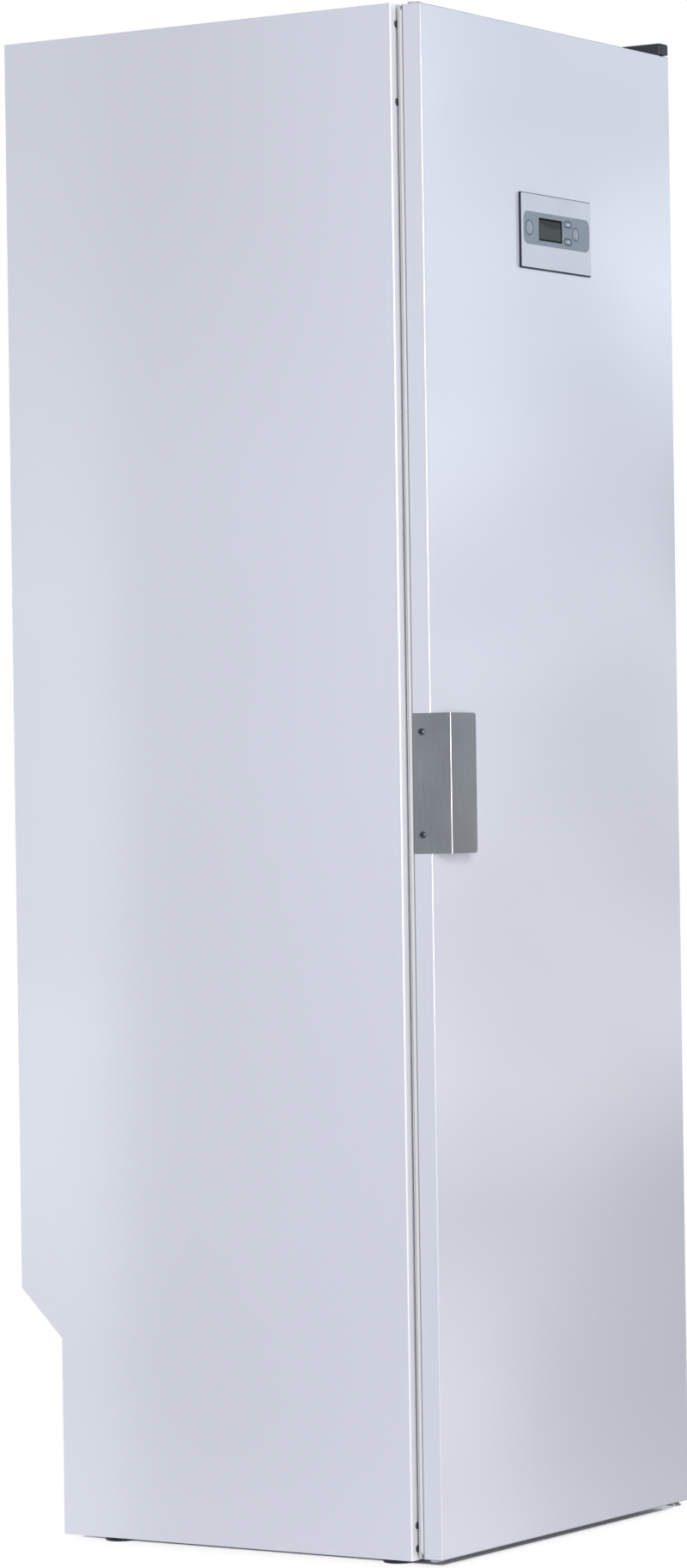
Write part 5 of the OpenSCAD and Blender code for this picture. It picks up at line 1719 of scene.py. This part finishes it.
class CABINET_OT_stage(bpy.types.Operator):
    """Sets the floor, the soft lights and the camera"""

    bl_idname = "drying_cabinet.stage"
    bl_label = "Stage"

    def execute(self, context):
        self.floor()
        self.world()
        self.lights()
        self.camera()
        context.scene.view_settings.view_transform = "Standard"
        return {"FINISHED"}

    def floor(self):
        """A round pale floor that fades out into the white surroundings."""
        bm = bmesh.new()
        bmesh.ops.create_circle(bm, cap_ends=True, segments=96, radius=FLOOR_RADIUS)
        mesh = mesh_from(bm, "floor")
        settings = look().stage
        box = Paintbox("pale_floor", settings.floor, 0.8)
        box.tint(box.spread(box.noise(1.2, 3.0), 0.0, 1.0), 0.995, 1.005)
        distance = box.vector("LENGTH", box.place, output="Value")
        near = self.nearness(box)
        fade = box.spread(distance, 1.0, 0.0, 0.45, 1.9)
        body = box.spread(near, 0.2, 1.0, 0.0, 1.0)
        box.link(box.math("MULTIPLY", fade, body), "Alpha")
        box.set(**{"Emission Color": WHITE})
        box.link(box.spread(near, settings.floor_glow, 0.0, 0.0, 1.0), "Emission Strength")
        mesh.materials.append(box.material)
        floor = new_object("floor", mesh)

    def nearness(self, box):
        """One under the cabinet, falling away within a few centimetres of it."""
        # The camera looks under the cabinet, so the shade starts inside it on the near sides
        low_corner = Vector((LEFT + 50 * MM, DOOR_FRONT + 32 * MM, -1.0))
        high_corner = Vector((RIGHT + 20 * MM, high("base_pan").y + 8 * MM, 1.0))
        centre, half = (low_corner + high_corner) / 2, (high_corner - low_corner) / 2
        away = box.vector("ABSOLUTE", box.vector("SUBTRACT", box.place, centre))
        outside = box.vector("MAXIMUM", box.vector("SUBTRACT", away, half), (0.0, 0.0, 0.0))
        distance = box.vector("LENGTH", outside, output="Value")
        return box.math("EXPONENT", box.math("MULTIPLY", distance, -SHADE_FALL))

    def world(self):
        """White surroundings that give a cool, even fill."""
        world = bpy.data.worlds.new("studio")
        bpy.context.scene.world = world
        world.use_nodes = True
        tree = world.node_tree
        path = tree.nodes.new("ShaderNodeLightPath")
        mix = tree.nodes.new("ShaderNodeMix")
        mix.data_type = "RGBA"
        mix.inputs["A"].default_value = (*look().stage.fill, 1.0)
        mix.inputs["B"].default_value = WHITE
        tree.links.new(path.outputs["Is Camera Ray"], mix.inputs["Factor"])
        tree.links.new(mix.outputs["Result"], tree.nodes["Background"].inputs["Color"])

    def lights(self):
        """Soft boxes round and over the cabinet, and two cards that the flat faces mirror."""
        s = look().stage
        soft_box("left_low_light", KEY_ANGLE, s.left_low, 1.1, 1.0, KEY_DISTANCE, 0.95)
        soft_box("left_high_light", KEY_ANGLE, s.left_high, 1.1, 0.9, KEY_DISTANCE, 1.9)
        soft_box("front_light", 98.0, s.front)
        soft_box("rear_light", 262.0, s.behind)
        soft_box("right_light", 205.0, s.behind)
        roof_light = soft_box("roof_light", 0.0, s.roof, 1.0, 1.0, 0.0, ROOF_HEIGHT)
        roof_light.data.spread = math.radians(ROOF_SPREAD)
        roof_light.rotation_euler = (0.0, 0.0, 0.0)
        glows, tints = (s.side_low, s.side_high), (SIDE_TINT, SIDE_TINT)
        glow_card("side_card", (-3.6, 2.5), (1.6, 2.2, 0.0), glows, tints, (1.4, 0.45))
        glows, tints = (s.door_low, s.door_high), (s.tint_low, s.tint_high)
        glow_card("door_card", (3.2, -2.7), (1.6, 2.7, 0.0), glows, tints, (1.9, 0.7), DOOR_PATCHES)

    def camera(self):
        """The camera, where the photograph was taken from."""
        settings = look().stage
        data = bpy.data.cameras.new("camera")
        data.sensor_width = 36.0
        data.lens = settings.focal
        data.clip_end = 100.0
        camera = new_object("camera", data)
        level = math.cos(settings.pitch)
        sine, cosine = math.sin(settings.heading), math.cos(settings.heading)
        ahead = Vector((sine * level, cosine * level, math.sin(settings.pitch)))
        right = Vector((cosine, -sine, 0.0))
        up = right.cross(ahead)
        right = math.cos(settings.roll) * right + math.sin(settings.roll) * up
        up = right.cross(ahead)
        turn = Matrix((right, up, -ahead)).transposed().to_4x4()
        spot = (settings.camera_x, settings.camera_y, settings.camera_z)
        camera.matrix_world = Matrix.Translation(spot) @ turn
        bpy.context.scene.camera = camera


# Panel and registration

OPERATORS = (
    CABINET_OT_stage,
    CABINET_OT_body,
    CABINET_OT_liner,
    CABINET_OT_racks,
    CABINET_OT_door,
    CABINET_OT_handle,
    CABINET_OT_controls,
    CABINET_OT_hinges,
    CABINET_OT_feet,
    CABINET_OT_air,
    CABINET_OT_machinery,
)


class CABINET_PT_tools(bpy.types.Panel):
    """Lists the steps that make the cabinet and its main settings"""

    bl_idname = "CABINET_PT_tools"
    bl_label = "Drying cabinet"
    bl_space_type = "VIEW_3D"
    bl_region_type = "UI"
    bl_category = "Drying cabinet"

    def draw(self, context):
        settings = context.scene.drying_cabinet
        for operator in OPERATORS:
            self.layout.operator(operator.bl_idname)
        for name in ("sheet", "door", "handle", "control", "rack", "part", "finish", "stage"):
            column = self.layout.column(heading=name.capitalize())
            group = getattr(settings, name)
            for key in group.bl_rna.properties.keys():
                if key not in ("rna_type", "name"):
                    column.prop(group, key)


CLASSES = (
    SheetSizes,
    DoorSizes,
    HandleSizes,
    ControlSizes,
    RackSizes,
    PartSizes,
    Finishes,
    StageSettings,
    CabinetLook,
    *OPERATORS,
    CABINET_PT_tools,
)


def register():
    """Registers the classes and the scene's settings."""
    for cls in CLASSES:
        bpy.utils.register_class(cls)
    bpy.types.Scene.drying_cabinet = bpy.props.PointerProperty(type=CabinetLook)


def unregister():
    """Removes what register added."""
    del bpy.types.Scene.drying_cabinet
    for cls in reversed(CLASSES):
        bpy.utils.unregister_class(cls)


def main():
    """Makes every piece."""
    register()
    for operator in OPERATORS:
        group, name = operator.bl_idname.split(".")
        getattr(getattr(bpy.ops, group), name)()


if __name__ == "__main__":
    main()
